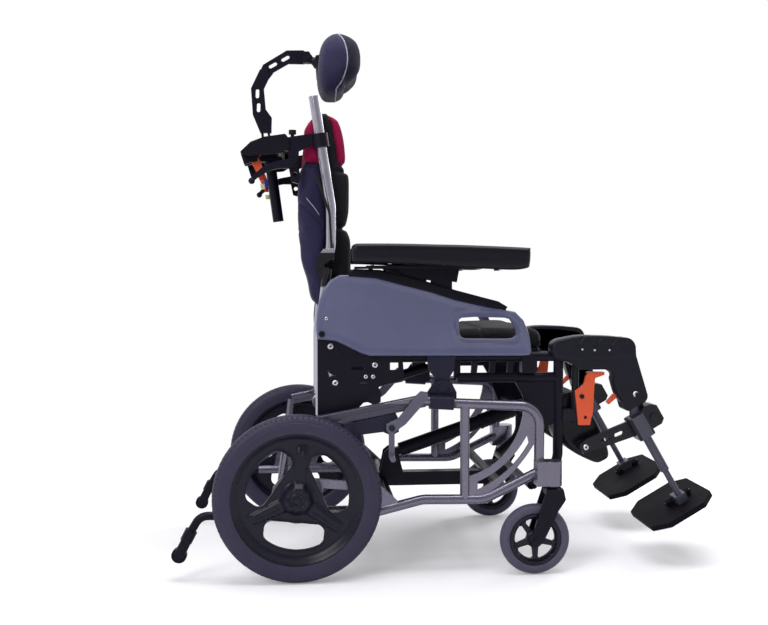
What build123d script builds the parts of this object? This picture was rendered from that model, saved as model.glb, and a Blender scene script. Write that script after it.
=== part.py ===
from build123d import *
import os
from math import atan2, cos, degrees, hypot, radians, sin

# Tilt-in-space wheelchair, millimetres.
# +X is forward, +Z is up, the chair's right side is -Y.
# The origin is the middle of the floor under the chair.
# Right-hand pieces are modelled, and left-hand ones are their mirror images.

# ---- driving dimensions: wheels -------------------------------------------
REAR_WHEEL_R = 178.0
REAR_RIM_R = 143.5
REAR_TYRE_W = 38.0
REAR_WHEEL_Y = 268.0
REAR_AXLE_X = -328.0
REAR_AXLE_R = 6.0
REAR_HUB_R = 33.0
DRUM_R = 50.0
SPOKE_COUNT = 3
SPOKE_FIRST_ANGLE = 84.0
WINDOW_R = 108.0
WINDOW_CHORD = 50.0
WINDOW_W = 126.0

CASTER_R = 76.2
CASTER_HUB_R = 56.5
CASTER_W = 28.0
CASTER_Y = 248.0
CASTER_TRAIL = 39.0
CASTER_STEM_X = 222.0
CASTER_STEM_R = 6.0
CASTER_AXLE_R = 4.0
CASTER_WINDOWS = 5
FORK_TOP_Z = 186.0
FORK_LEG_T = 5.0

# ---- driving dimensions: base frame ---------------------------------------
TUBE_R = 11.0
FRAME_Y = 235.0
UPPER_RAIL_Z = 371.0
FRONT_LEG_X = 195.0
STRUT_X = 32.0
LOWER_RAIL_Z = 161.0
REAR_RAIL_Z = 137.0
REAR_END_X = -430.0
HOUSING_R = 20.0
HOUSING_BOTTOM_Z = 192.0
HOUSING_TOP_Z = 245.0
AXLE_PLATE_T = 8.0
RIB_T = 6.0
SPINE_W = 30.0
SPINE_TOP_Z = 177.0
SPINE_H = 32.0

# ---- driving dimensions: tilting seat -------------------------------------
TILT_X = -14.0
TILT_Z = 402.0
TILT_MAX = 35.0
TILT_PIN_R = 6.0
RAIL_Y = 188.0
SEAT_RAIL_Z = 466.0
SEAT_LOWER_Z = 420.0
FRONT_POST_X = 249.0
PLATE_IN = 198.5
PLATE_T = 6.0
SEAT_PAN_Z = 478.0
SEAT_PAN_T = 6.0
CUSHION_T = 42.0
CUSHION_W = 372.0

# ---- driving dimensions: back ---------------------------------------------
CANE_Y = 186.0
CANE_R = 11.1
RECLINE_X = -247.0
RECLINE_Z = 411.0
RECLINE_MAX = 30.0
RECLINE_PIN_R = 5.0
FOLD_X = -277.0
FOLD_Z = 669.0
FOLD_PIN_R = 3.5
CANE_TOP_Z = 1029.0
CANE_TOP_X = -290.0
CANE_BEND_Z = 794.0
CANE_X = -254.0
BACK_HALF_W = 174.7

# ---- driving dimensions: arms ---------------------------------------------
PANEL_IN = 207.0
PANEL_OUT = 222.0
PANEL_SKIN = 4.0
ARM_HINGE_X = -275.0
ARM_HINGE_Z = 520.0
ARM_PIN_R = 4.0
PAD_LENGTH = 377.0
PAD_W = 58.0
PAD_TOP_Z = 709.0
PAD_Y = 247.0
POST_T = 8.0

# ---- driving dimensions: legs ---------------------------------------------
LEG_Y = 194.0
LEG_PITCH = 60.0
LEG_X = 446.0
LEG_Z = 290.0
LEG_TUBE_R = 10.0
LEG_ROD_R = 7.0
KNEE_X = 422.0
KNEE_Z = 380.0
KNEE_PIN_R = 5.0
HANGER_W = 40.0
FOOTPLATE_W = 176.0
FOOTPLATE_L = 156.0
FOOTPLATE_T = 12.0

# ---- driving dimensions: anti-tip tubes -------------------------------------
ANTI_TIP_R = 9.0
ANTI_TIP_INSERT = 60.0
ROLLER_R = 16.0
ROLLER_W = 18.0
ROLLER_X = -577.0
ROLLER_Z = 55.0

# ---- clearances -------------------------------------------------------------
FIT = 0.05
GAP = 0.5
OPEN_EYE = 3.0

REAR_AXLE = (REAR_AXLE_X, REAR_WHEEL_R)
CASTER_AXLE_X = CASTER_STEM_X - CASTER_TRAIL
FRAME_IN = FRAME_Y - TUBE_R
FRAME_OUT = FRAME_Y + TUBE_R


def right_plane(distance):
    """Upright plane on the right side, facing out: x is forward, y is up."""
    return Plane.XZ.offset(distance)


def round_bar(points, radius, bend=0.0):
    """A round bar along straight runs joined by bends."""
    with BuildPart() as bar:
        with BuildLine() as route:
            if len(points) == 2:
                Line(*points)
            else:
                FilletPolyline(*points, radius=bend)
        with BuildSketch(Plane(origin=route.line @ 0, z_dir=route.line % 0)):
            Circle(radius)
        sweep(path=route.line)
    return bar.part


def cross_bar(x, z, half_width, radius):
    """A round bar across the chair."""
    with BuildPart() as bar:
        with BuildSketch(Plane.XZ):
            with Locations((x, z)):
                Circle(radius)
        extrude(amount=half_width, both=True)
    return bar.part


def side_plate(outline, inner, thickness, corner=0.0):
    """A flat plate in an upright fore-and-aft plane of the right side."""
    with BuildPart() as plate:
        with BuildSketch(right_plane(inner)) as face:
            Polygon(*outline, align=None)
            if corner > 0:
                fillet(face.vertices(), corner)
        extrude(amount=thickness)
    return plate.part


def pin(x, z, inner, outer, radius):
    """A pin across the right side, from one distance off centre to another."""
    with BuildPart() as rod:
        with BuildSketch(right_plane(inner)):
            with Locations((x, z)):
                Circle(radius)
        extrude(amount=outer - inner)
    return rod.part


def other_side(piece):
    """The mirror image on the left side."""
    with BuildPart() as left:
        mirror(piece, about=Plane.XZ)
    return left.part


def both_sides(piece):
    """The right piece and its mirror image."""
    with BuildPart() as pair:
        add(piece)
        mirror(piece, about=Plane.XZ)
    return pair.part


def save(piece, name):
    piece.label = name
    export_step(piece, f"parts/{name}.step")


def save_both(piece, name):
    save(piece, f"{name}_right")
    save(other_side(piece), f"{name}_left")


def turned(x, z, about_x, about_z, angle):
    """A point of the side view, tipped back by an angle about another."""
    c = cos(radians(angle))
    s = sin(radians(angle))
    return (
        about_x + (x - about_x) * c - (z - about_z) * s,
        about_z + (x - about_x) * s + (z - about_z) * c,
    )


# ---- base: side frames -------------------------------------------------------
def side_frame():
    y = -FRAME_Y
    rear_top = (-343, y, 322)
    shoulder = (-56, y, 377)
    upper = round_bar(
        [
            rear_top,
            shoulder,
            (14, y, 370.1),
            (FRONT_LEG_X, y, 361),
            (FRONT_LEG_X, y, HOUSING_TOP_Z - 4),
        ],
        TUBE_R,
        bend=42,
    )
    lower = round_bar(
        [
            (REAR_END_X, y, REAR_RAIL_Z),
            (-165, y, REAR_RAIL_Z),
            (-60, y, LOWER_RAIL_Z + 2),
            (75, y, LOWER_RAIL_Z),
            (FRONT_LEG_X, y, 219.5),
        ],
        TUBE_R - 0.4,
        bend=70,
    )
    strut = round_bar([(STRUT_X, y, LOWER_RAIL_Z), (STRUT_X, y, UPPER_RAIL_Z - 3)], TUBE_R - 0.8)
    rear_leg = round_bar([(-345, y, 322), (-370, y, REAR_RAIL_Z)], TUBE_R - 1)
    axle_plate = side_plate(
        [(-392, 137), (-380, 196), (-352, 214), (-300, 214), (-154, 199), (-104, 152), (-165, 137)],
        FRAME_Y - AXLE_PLATE_T / 2,
        AXLE_PLATE_T,
    )
    with BuildPart() as rear_bar:
        with BuildSketch(Plane(origin=rear_top, z_dir=Vector(*shoulder) - Vector(*rear_top), x_dir=(0, 1, 0))):
            RectangleRounded(2 * TUBE_R - 1, 2 * TUBE_R + 4, 4)
        extrude(amount=(Vector(*shoulder) - Vector(*rear_top)).length)
    with BuildPart() as gusset:
        with BuildSketch(right_plane(FRAME_Y - RIB_T / 2)) as face:
            with BuildLine():
                Polyline((190, 292), (190, 356), (160, 356))
                ThreePointArc((160, 356), (128, 270), (36, 210))
                Line((36, 210), (36, 164))
                Line((36, 164), (66, 164))
                ThreePointArc((66, 164), (134, 216), (190, 292))
            make_face()
            with BuildLine():
                ThreePointArc((168, 300), (136, 254), (60, 200))
                Line((60, 200), (60, 182))
                ThreePointArc((60, 182), (126, 224), (172, 282))
                Line((172, 282), (168, 300))
            make_face(mode=Mode.SUBTRACT)
        extrude(amount=RIB_T)
    with BuildPart() as frame:
        add(upper)
        add(lower)
        add(strut)
        add(rear_leg)
        add(axle_plate)
        add(rear_bar.part)
        add(gusset.part)
        with BuildSketch(Plane.XY.offset(HOUSING_BOTTOM_Z)):
            with Locations((CASTER_STEM_X - 18, -(FRAME_Y + CASTER_Y + 8) / 2)):
                Rectangle(38, CASTER_Y - FRAME_Y + 24)
            with Locations((CASTER_STEM_X, -CASTER_Y)):
                Circle(HOUSING_R)
        extrude(amount=HOUSING_TOP_Z - HOUSING_BOTTOM_Z)
        # lightening hole in the axle plate
        with BuildSketch(right_plane(FRAME_Y - TUBE_R)):
            with BuildLine():
                Polyline((-280, 152), (-272, 192), (-178, 184), (-152, 164), (-168, 152), (-280, 152))
            make_face()
        extrude(amount=2 * TUBE_R, mode=Mode.SUBTRACT)
        # axle seat and open rear end for the anti-tip tube
        with BuildSketch(right_plane(FRAME_Y - TUBE_R)):
            with Locations(REAR_AXLE):
                Circle(REAR_AXLE_R)
        extrude(amount=2 * TUBE_R, mode=Mode.SUBTRACT)
        with BuildSketch(Plane.YZ.offset(REAR_END_X)):
            with Locations((-FRAME_Y, REAR_RAIL_Z)):
                Circle(ANTI_TIP_R + FIT)
        extrude(amount=ANTI_TIP_INSERT + 1, mode=Mode.SUBTRACT)
        # caster bearing bore, closed at its top by a cap
        with BuildSketch(Plane.XY.offset(HOUSING_BOTTOM_Z)):
            with Locations((CASTER_STEM_X, -CASTER_Y)):
                Circle(CASTER_STEM_R + FIT)
        extrude(amount=HOUSING_TOP_Z - HOUSING_BOTTOM_Z - 6, mode=Mode.SUBTRACT)
    return frame.part


# ---- base: cross frame ---------------------------------------------------------
SPINE_REAR_X = -142.0
SPINE_FRONT_X = 136.0
REAR_CROSS = (-128.0, 153.0)
FRONT_CROSS = (120.0, 180.0)
STRUT_FOOT = (-108.0, 220.0)
STRUT_FOOT_PIN_R = 5.0
STRUT_EAR_IN = 13.0
STRUT_EAR_T = 6.0


def cross_frame():
    rear = cross_bar(*REAR_CROSS, FRAME_IN, 12)
    front = cross_bar(*FRONT_CROSS, FRAME_IN, TUBE_R)
    ear = side_plate(
        [(-134, SPINE_TOP_Z - 2), (-124, 226), (-112, 236), (-100, 234), (-90, 222), (-78, SPINE_TOP_Z - 2)],
        STRUT_EAR_IN,
        STRUT_EAR_T,
    )
    with BuildPart() as frame:
        add(rear)
        add(front)
        with BuildSketch(Plane.XY.offset(SPINE_TOP_Z - SPINE_H)):
            with Locations(((SPINE_REAR_X + SPINE_FRONT_X) / 2, 0)):
                Rectangle(SPINE_FRONT_X - SPINE_REAR_X, SPINE_W)
        extrude(amount=SPINE_H)
        with BuildSketch(Plane.XY.offset(SPINE_TOP_Z - 4)):
            with Locations((-106, 0)):
                Rectangle(56, 2 * (STRUT_EAR_IN + STRUT_EAR_T))
        extrude(amount=4)
        add(ear)
        mirror(ear, about=Plane.XZ)
        with BuildSketch(Plane.XZ):
            with Locations(STRUT_FOOT):
                Circle(STRUT_FOOT_PIN_R)
        extrude(amount=STRUT_EAR_IN + STRUT_EAR_T + 4, both=True)
    return frame.part


# ---- base: axles, brakes, tilt bearings, lock mounts ----------------------------
BRAKE_PLATE_R = 46.0
BRAKE_PLATE_IN = 246.8
BRAKE_PLATE_T = 3.0


def axle_and_brake():
    with BuildPart() as piece:
        with BuildSketch(right_plane(FRAME_Y - AXLE_PLATE_T / 2 - 8)):
            with Locations(REAR_AXLE):
                Circle(REAR_AXLE_R)
        extrude(amount=REAR_WHEEL_Y + 16 - (FRAME_Y - AXLE_PLATE_T / 2 - 8))
        with BuildSketch(right_plane(FRAME_Y - AXLE_PLATE_T / 2 - 8)):
            with Locations(REAR_AXLE):
                RegularPolygon(10, 6)
        extrude(amount=8)
        with BuildSketch(right_plane(FRAME_Y + AXLE_PLATE_T / 2)):
            with Locations(REAR_AXLE):
                Circle(17)
        extrude(amount=BRAKE_PLATE_IN - FRAME_Y - AXLE_PLATE_T / 2)
        with BuildSketch(right_plane(BRAKE_PLATE_IN)):
            with Locations(REAR_AXLE):
                Circle(BRAKE_PLATE_R)
            with Locations((REAR_AXLE_X - 8, REAR_WHEEL_R + BRAKE_PLATE_R)):
                Rectangle(22, 26)
        extrude(amount=BRAKE_PLATE_T)
    return piece.part


BEARING_X = -19.0
BEARING_L = 52.0
EAR_IN = 214.0
EAR_T = 7.0


def tilt_bearing():
    """Sleeve clamp on the upper rail, with the ear that carries the tilt pin."""
    sleeve = round_bar(
        [(BEARING_X - BEARING_L / 2, -FRAME_Y, 374.4), (BEARING_X + BEARING_L / 2, -FRAME_Y, 371.0)], TUBE_R + 4.5
    )
    with BuildPart() as bearing:
        add(sleeve)
        with BuildSketch(right_plane(EAR_IN)):
            with BuildLine():
                Polyline((-48, 366), (-48, 392), (-34, 412))
                ThreePointArc((-34, 412), (TILT_X, TILT_Z + 16), (6, 412))
                Polyline((6, 412), (16, 392), (16, 366), (-48, 366))
            make_face()
        extrude(amount=EAR_T)
        with BuildSketch(right_plane(EAR_IN)):
            with Locations((BEARING_X + 3, 374)):
                Rectangle(56, 16)
        extrude(amount=FRAME_Y - EAR_IN)
        # bore for the rail
        with BuildSketch(Plane(origin=(-56, -FRAME_Y, 377), z_dir=(70, 0, -6.9), x_dir=(0, 1, 0))):
            Circle(TUBE_R)
        extrude(amount=90, mode=Mode.SUBTRACT)
        with BuildSketch(right_plane(PLATE_IN)):
            with Locations((TILT_X, TILT_Z)):
                Circle(TILT_PIN_R)
        extrude(amount=EAR_IN + EAR_T + 3 - PLATE_IN)
        with BuildSketch(right_plane(EAR_IN + EAR_T)):
            with Locations((TILT_X, TILT_Z)):
                Circle(9.5)
            with Locations((-36, 396), (4, 396)):
                RegularPolygon(5, 6)
        extrude(amount=3.5)
        # flat on the outer side, where the wheel-lock lever sweeps past
        with BuildSketch(right_plane(LOCK_IN - 2 * GAP)):
            with Locations((BEARING_X, 372)):
                Rectangle(80, 50)
        extrude(amount=8, mode=Mode.SUBTRACT)
    return bearing.part


LOCK_PIVOT = (-128.0, 322.0)
LOCK_PIN_R = 4.0
LOCK_IN = 248.0
LOCK_T = 8.0
LOCK_SHOE_R = 6.0
LOCK_ARM = hypot(LOCK_PIVOT[0] - REAR_AXLE_X, LOCK_PIVOT[1] - REAR_WHEEL_R) - REAR_WHEEL_R - LOCK_SHOE_R - GAP


def lock_mount():
    """Clamp under the rear bar that carries the wheel-lock lever."""
    with BuildPart() as mount:
        with BuildSketch(right_plane(FRAME_IN)):
            Polygon((-212, 333), (-118, 351), (-112, 338), (-112, 312), (-128, 304), (-146, 312), (-200, 306), align=None)
        extrude(amount=2 * TUBE_R)
        with BuildSketch(right_plane(FRAME_OUT)):
            with Locations(LOCK_PIVOT):
                Circle(15)
        extrude(amount=LOCK_IN - GAP - FRAME_OUT)
        with BuildSketch(right_plane(FRAME_IN + 2)):
            with Locations(LOCK_PIVOT):
                Circle(LOCK_PIN_R)
        extrude(amount=LOCK_IN + LOCK_T + 1 - FRAME_IN - 2)
        with BuildSketch(right_plane(LOCK_IN + LOCK_T + GAP)):
            with Locations(LOCK_PIVOT):
                RegularPolygon(7, 6)
        extrude(amount=4)
        # seat of the rear bar, so that the clamp wraps it without sharing its space
        with BuildSketch(right_plane(FRAME_IN - 1)):
            Polygon((-343, 309.2), (-56, 364.2), (-56, 400), (-343, 400), align=None)
        extrude(amount=2 * TUBE_R + 2, mode=Mode.SUBTRACT)
    return mount.part


# ---- rear wheels ------------------------------------------------------------------
def rear_tyre():
    half = REAR_TYRE_W / 2
    axis = Axis((REAR_AXLE_X, 0, REAR_WHEEL_R), (0, 1, 0))
    with BuildPart() as tyre:
        with BuildSketch(Plane.YZ.offset(REAR_AXLE_X)):
            with BuildLine():
                y = -REAR_WHEEL_Y
                z = REAR_WHEEL_R
                Line((y - 14, z + REAR_RIM_R), (y + 14, z + REAR_RIM_R))
                ThreePointArc(
                    (y + 14, z + REAR_RIM_R), (y + half, z + REAR_RIM_R + 14), (y + 10, z + REAR_WHEEL_R - 3)
                )
                ThreePointArc(
                    (y + 10, z + REAR_WHEEL_R - 3), (y, z + REAR_WHEEL_R), (y - 10, z + REAR_WHEEL_R - 3)
                )
                ThreePointArc(
                    (y - 10, z + REAR_WHEEL_R - 3), (y - half, z + REAR_RIM_R + 14), (y - 14, z + REAR_RIM_R)
                )
            make_face()
        revolve(axis=axis)
    return tyre.part


def rear_rim():
    """Moulded wheel: rim barrel, dished web with three windows, three spokes and hub."""
    axis = Axis((REAR_AXLE_X, 0, REAR_WHEEL_R), (0, 1, 0))
    out = -REAR_WHEEL_Y
    z = REAR_WHEEL_R
    with BuildPart() as rim:
        with BuildSketch(Plane.YZ.offset(REAR_AXLE_X)):
            with BuildLine():
                Polyline(
                    (out + 15, z + REAR_RIM_R),
                    (out - 15, z + REAR_RIM_R),
                    (out - 15, z + REAR_RIM_R - 8),
                    (out - 13, z + REAR_RIM_R - 17),
                    (out - 13, z + REAR_HUB_R),
                    (out - 21, z + REAR_HUB_R - 4),
                    (out - 21, z + REAR_AXLE_R + FIT),
                    (out + 14, z + REAR_AXLE_R + FIT),
                    (out + 14, z + REAR_HUB_R - 8),
                    (out - 5, z + REAR_HUB_R),
                    (out - 5, z + REAR_RIM_R - 17),
                    (out + 15, z + REAR_RIM_R - 8),
                    (out + 15, z + REAR_RIM_R),
                )
            make_face()
        revolve(axis=axis)
        # brake drum
        with BuildSketch(right_plane(BRAKE_PLATE_IN + BRAKE_PLATE_T + GAP)):
            with Locations(REAR_AXLE):
                Circle(DRUM_R + 4)
                Circle(DRUM_R, mode=Mode.SUBTRACT)
        extrude(amount=REAR_WHEEL_Y + 6 - BRAKE_PLATE_IN - BRAKE_PLATE_T - GAP)
        # windows between the spokes
        with BuildSketch(right_plane(REAR_WHEEL_Y - 30)) as windows:
            with Locations(Location((REAR_AXLE_X, REAR_WHEEL_R, 0), SPOKE_FIRST_ANGLE + 180)):
                with PolarLocations(0, SPOKE_COUNT):
                    add(wheel_window())
        extrude(amount=60, mode=Mode.SUBTRACT)
        # hub cap with two small bosses
        with BuildSketch(right_plane(REAR_WHEEL_Y + 21)):
            with Locations(REAR_AXLE):
                Circle(REAR_HUB_R - 10)
        extrude(amount=4, taper=25)
    return rim.part


def wheel_window():
    """One window: rounded, straight on the hub side and curved on the rim side."""
    with BuildSketch() as window:
        Circle(WINDOW_R)
        with Locations(((WINDOW_CHORD + WINDOW_R) / 2, 0)):
            Rectangle(WINDOW_R - WINDOW_CHORD, WINDOW_W, mode=Mode.INTERSECT)
        fillet(window.vertices(), 17)
    return window.sketch


# ---- casters ----------------------------------------------------------------------
def caster_tyre():
    axis = Axis((CASTER_AXLE_X, 0, CASTER_R), (0, 1, 0))
    half = CASTER_W / 2
    y = -CASTER_Y
    z = CASTER_R
    with BuildPart() as tyre:
        with BuildSketch(Plane.YZ.offset(CASTER_AXLE_X)):
            with BuildLine():
                Line((y - 11, z + CASTER_HUB_R), (y + 11, z + CASTER_HUB_R))
                ThreePointArc((y + 11, z + CASTER_HUB_R), (y + half, z + CASTER_HUB_R + 9), (y + 7, z + CASTER_R - 2))
                ThreePointArc((y + 7, z + CASTER_R - 2), (y, z + CASTER_R), (y - 7, z + CASTER_R - 2))
                ThreePointArc((y - 7, z + CASTER_R - 2), (y - half, z + CASTER_HUB_R + 9), (y - 11, z + CASTER_HUB_R))
            make_face()
        revolve(axis=axis)
    return tyre.part


def caster_hub():
    axis = Axis((CASTER_AXLE_X, 0, CASTER_R), (0, 1, 0))
    y = -CASTER_Y
    z = CASTER_R
    with BuildPart() as hub:
        with BuildSketch(Plane.YZ.offset(CASTER_AXLE_X)):
            with BuildLine():
                Polyline(
                    (y - 12, z + CASTER_HUB_R),
                    (y + 12, z + CASTER_HUB_R),
                    (y + 12, z + CASTER_HUB_R - 9),
                    (y + 5, z + CASTER_HUB_R - 12),
                    (y + 5, z + 17),
                    (y + 15, z + 14),
                    (y + 15, z + CASTER_AXLE_R + FIT),
                    (y - 15, z + CASTER_AXLE_R + FIT),
                    (y - 15, z + 14),
                    (y - 5, z + 17),
                    (y - 5, z + CASTER_HUB_R - 12),
                    (y - 12, z + CASTER_HUB_R - 9),
                    (y - 12, z + CASTER_HUB_R),
                )
            make_face()
        revolve(axis=axis)
        with BuildSketch(right_plane(CASTER_Y - 10)):
            with Locations(Location((CASTER_AXLE_X, CASTER_R, 0), 20)):
                with PolarLocations(31, CASTER_WINDOWS):
                    SlotCenterToCenter(13, 17, rotation=90)
        extrude(amount=20, mode=Mode.SUBTRACT)
    return hub.part


def caster_fork():
    inner = CASTER_W / 2 + 3
    leg = side_plate(
        [
            (CASTER_STEM_X - 17, FORK_TOP_Z),
            (CASTER_STEM_X + 19, FORK_TOP_Z),
            (CASTER_STEM_X + 24, FORK_TOP_Z - 22),
            (CASTER_STEM_X + 8, FORK_TOP_Z - 46),
            (CASTER_AXLE_X + 14, CASTER_R - 4),
            (CASTER_AXLE_X + 4, CASTER_R - 13),
            (CASTER_AXLE_X - 8, CASTER_R - 11),
            (CASTER_AXLE_X - 13, CASTER_R + 2),
            (CASTER_STEM_X - 26, FORK_TOP_Z - 28),
        ],
        CASTER_Y - inner - FORK_LEG_T,
        FORK_LEG_T,
        corner=2.5,
    )
    with BuildPart() as fork:
        add(leg)
        mirror(leg, about=Plane.XZ.offset(CASTER_Y))
        with BuildSketch(Plane.XY.offset(FORK_TOP_Z - 13)):
            with Locations((CASTER_STEM_X + 1, -CASTER_Y)):
                RectangleRounded(38, 2 * (inner + FORK_LEG_T), 7)
        extrude(amount=13)
        with BuildSketch(Plane.XY.offset(FORK_TOP_Z - 4)):
            with Locations((CASTER_STEM_X, -CASTER_Y)):
                Circle(CASTER_STEM_R + 5)
        extrude(amount=HOUSING_BOTTOM_Z - GAP - FORK_TOP_Z + 4)
        with BuildSketch(Plane.XY.offset(FORK_TOP_Z - 4)):
            with Locations((CASTER_STEM_X, -CASTER_Y)):
                Circle(CASTER_STEM_R)
        extrude(amount=HOUSING_TOP_Z - 8 - FORK_TOP_Z + 4)
        with BuildSketch(right_plane(CASTER_Y - inner - FORK_LEG_T - 4)):
            with Locations((CASTER_AXLE_X, CASTER_R)):
                Circle(CASTER_AXLE_R)
        extrude(amount=2 * (inner + FORK_LEG_T + 4))
        with BuildSketch(right_plane(CASTER_Y - inner - FORK_LEG_T - 4)):
            with Locations((CASTER_AXLE_X, CASTER_R)):
                RegularPolygon(7, 6)
        extrude(amount=4)
        with BuildSketch(right_plane(CASTER_Y + inner + FORK_LEG_T)):
            with Locations((CASTER_AXLE_X, CASTER_R)):
                RegularPolygon(7, 6)
        extrude(amount=4)
    return fork.part


# ---- anti-tip tubes -----------------------------------------------------------------
def anti_tip():
    y = -FRAME_Y
    with BuildPart() as tube:
        add(
            round_bar(
                [
                    (REAR_END_X + ANTI_TIP_INSERT, y, REAR_RAIL_Z),
                    (-533, y, REAR_RAIL_Z),
                    (-555, y, 100),
                ],
                ANTI_TIP_R,
                bend=28,
            )
        )
        add(round_bar([(-551, y, 107), (-563, y, 84)], ANTI_TIP_R + 4))
        with BuildSketch(Plane(origin=(-560, y, 89), z_dir=(-0.45, 0, -0.89), x_dir=(0, 1, 0))):
            RectangleRounded(28, 22, 6)
        extrude(amount=38)
        with BuildSketch(right_plane(FRAME_Y - ROLLER_W / 2 - GAP)):
            with Locations((ROLLER_X, ROLLER_Z)):
                Circle(ROLLER_R + 1.5)
            Polygon((ROLLER_X - 40, ROLLER_Z - 4), (ROLLER_X + 40, ROLLER_Z - 44), (ROLLER_X, ROLLER_Z - 60), align=None)
        extrude(amount=ROLLER_W + 2 * GAP, mode=Mode.SUBTRACT)
        with BuildSketch(right_plane(FRAME_Y - 14)):
            with Locations((ROLLER_X, ROLLER_Z)):
                Circle(3)
        extrude(amount=28)
        for start in (FRAME_Y - 14, FRAME_Y + ROLLER_W / 2 + GAP):
            with BuildSketch(right_plane(start)):
                with Locations((ROLLER_X, ROLLER_Z)):
                    Circle(9)
            extrude(amount=14 - ROLLER_W / 2 - GAP)
    return tube.part


def anti_tip_roller():
    with BuildPart() as roller:
        with BuildSketch(right_plane(FRAME_Y - ROLLER_W / 2)):
            with Locations((ROLLER_X, ROLLER_Z)):
                Circle(ROLLER_R)
                Circle(3 + FIT, mode=Mode.SUBTRACT)
        extrude(amount=ROLLER_W)
        fillet(roller.edges().filter_by(GeomType.CIRCLE).filter_by(lambda e: e.radius > ROLLER_R - 0.1), 2.5)
    return roller.part


# ---- wheel locks ----------------------------------------------------------------------
def lock_lever():
    """Moulded lever with a short shoe that presses on the tyre when it is swung forward."""
    with BuildPart() as lever:
        with BuildSketch(right_plane(LOCK_IN)):
            with BuildLine():
                Polyline((-120, 314), (-98, 330), (-50, 384), (-52, 397), (-66, 399), (-78, 388), (-112, 344), (-140, 330))
                Line((-140, 330), (-137, 316))
                Line((-137, 316), (-120, 314))
            make_face()
            with Locations(LOCK_PIVOT):
                Circle(12)
                Circle(LOCK_PIN_R + FIT, mode=Mode.SUBTRACT)
        extrude(amount=LOCK_T)
        with BuildSketch(right_plane(LOCK_IN)):
            with Locations((LOCK_PIVOT[0], LOCK_PIVOT[1] - LOCK_ARM / 2)):
                Rectangle(2 * LOCK_SHOE_R, LOCK_ARM)
            with Locations((LOCK_PIVOT[0], LOCK_PIVOT[1])):
                Circle(LOCK_PIN_R + FIT, mode=Mode.SUBTRACT)
        extrude(amount=LOCK_T)
        with BuildSketch(right_plane(LOCK_IN)):
            with Locations((LOCK_PIVOT[0], LOCK_PIVOT[1] - LOCK_ARM)):
                Circle(LOCK_SHOE_R)
        extrude(amount=REAR_WHEEL_Y + REAR_TYRE_W / 2 - LOCK_IN - 3)
        # the pin bore stays open through both arms
        with BuildSketch(right_plane(LOCK_IN)):
            with Locations(LOCK_PIVOT):
                Circle(LOCK_PIN_R + FIT)
        extrude(amount=LOCK_T, mode=Mode.SUBTRACT)
    return lever.part


# ---- tilting seat ---------------------------------------------------------------------
POST_FOOT = (190.0, 178.0)
STRUT_HEAD = (205.0, 326.0)
STRUT_HEAD_R = 9.0
GUSSET_IN = 184.0
GUSSET_T = 8.0
RECLINE_ANCHOR = (-5.0, 436.0)
RECLINE_ANCHOR_R = 8.0
RAIL_REAR_X = -228.0
RAIL_FRONT_X = FRONT_POST_X
SEAT_SLATS = (52, 92, 132)


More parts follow.
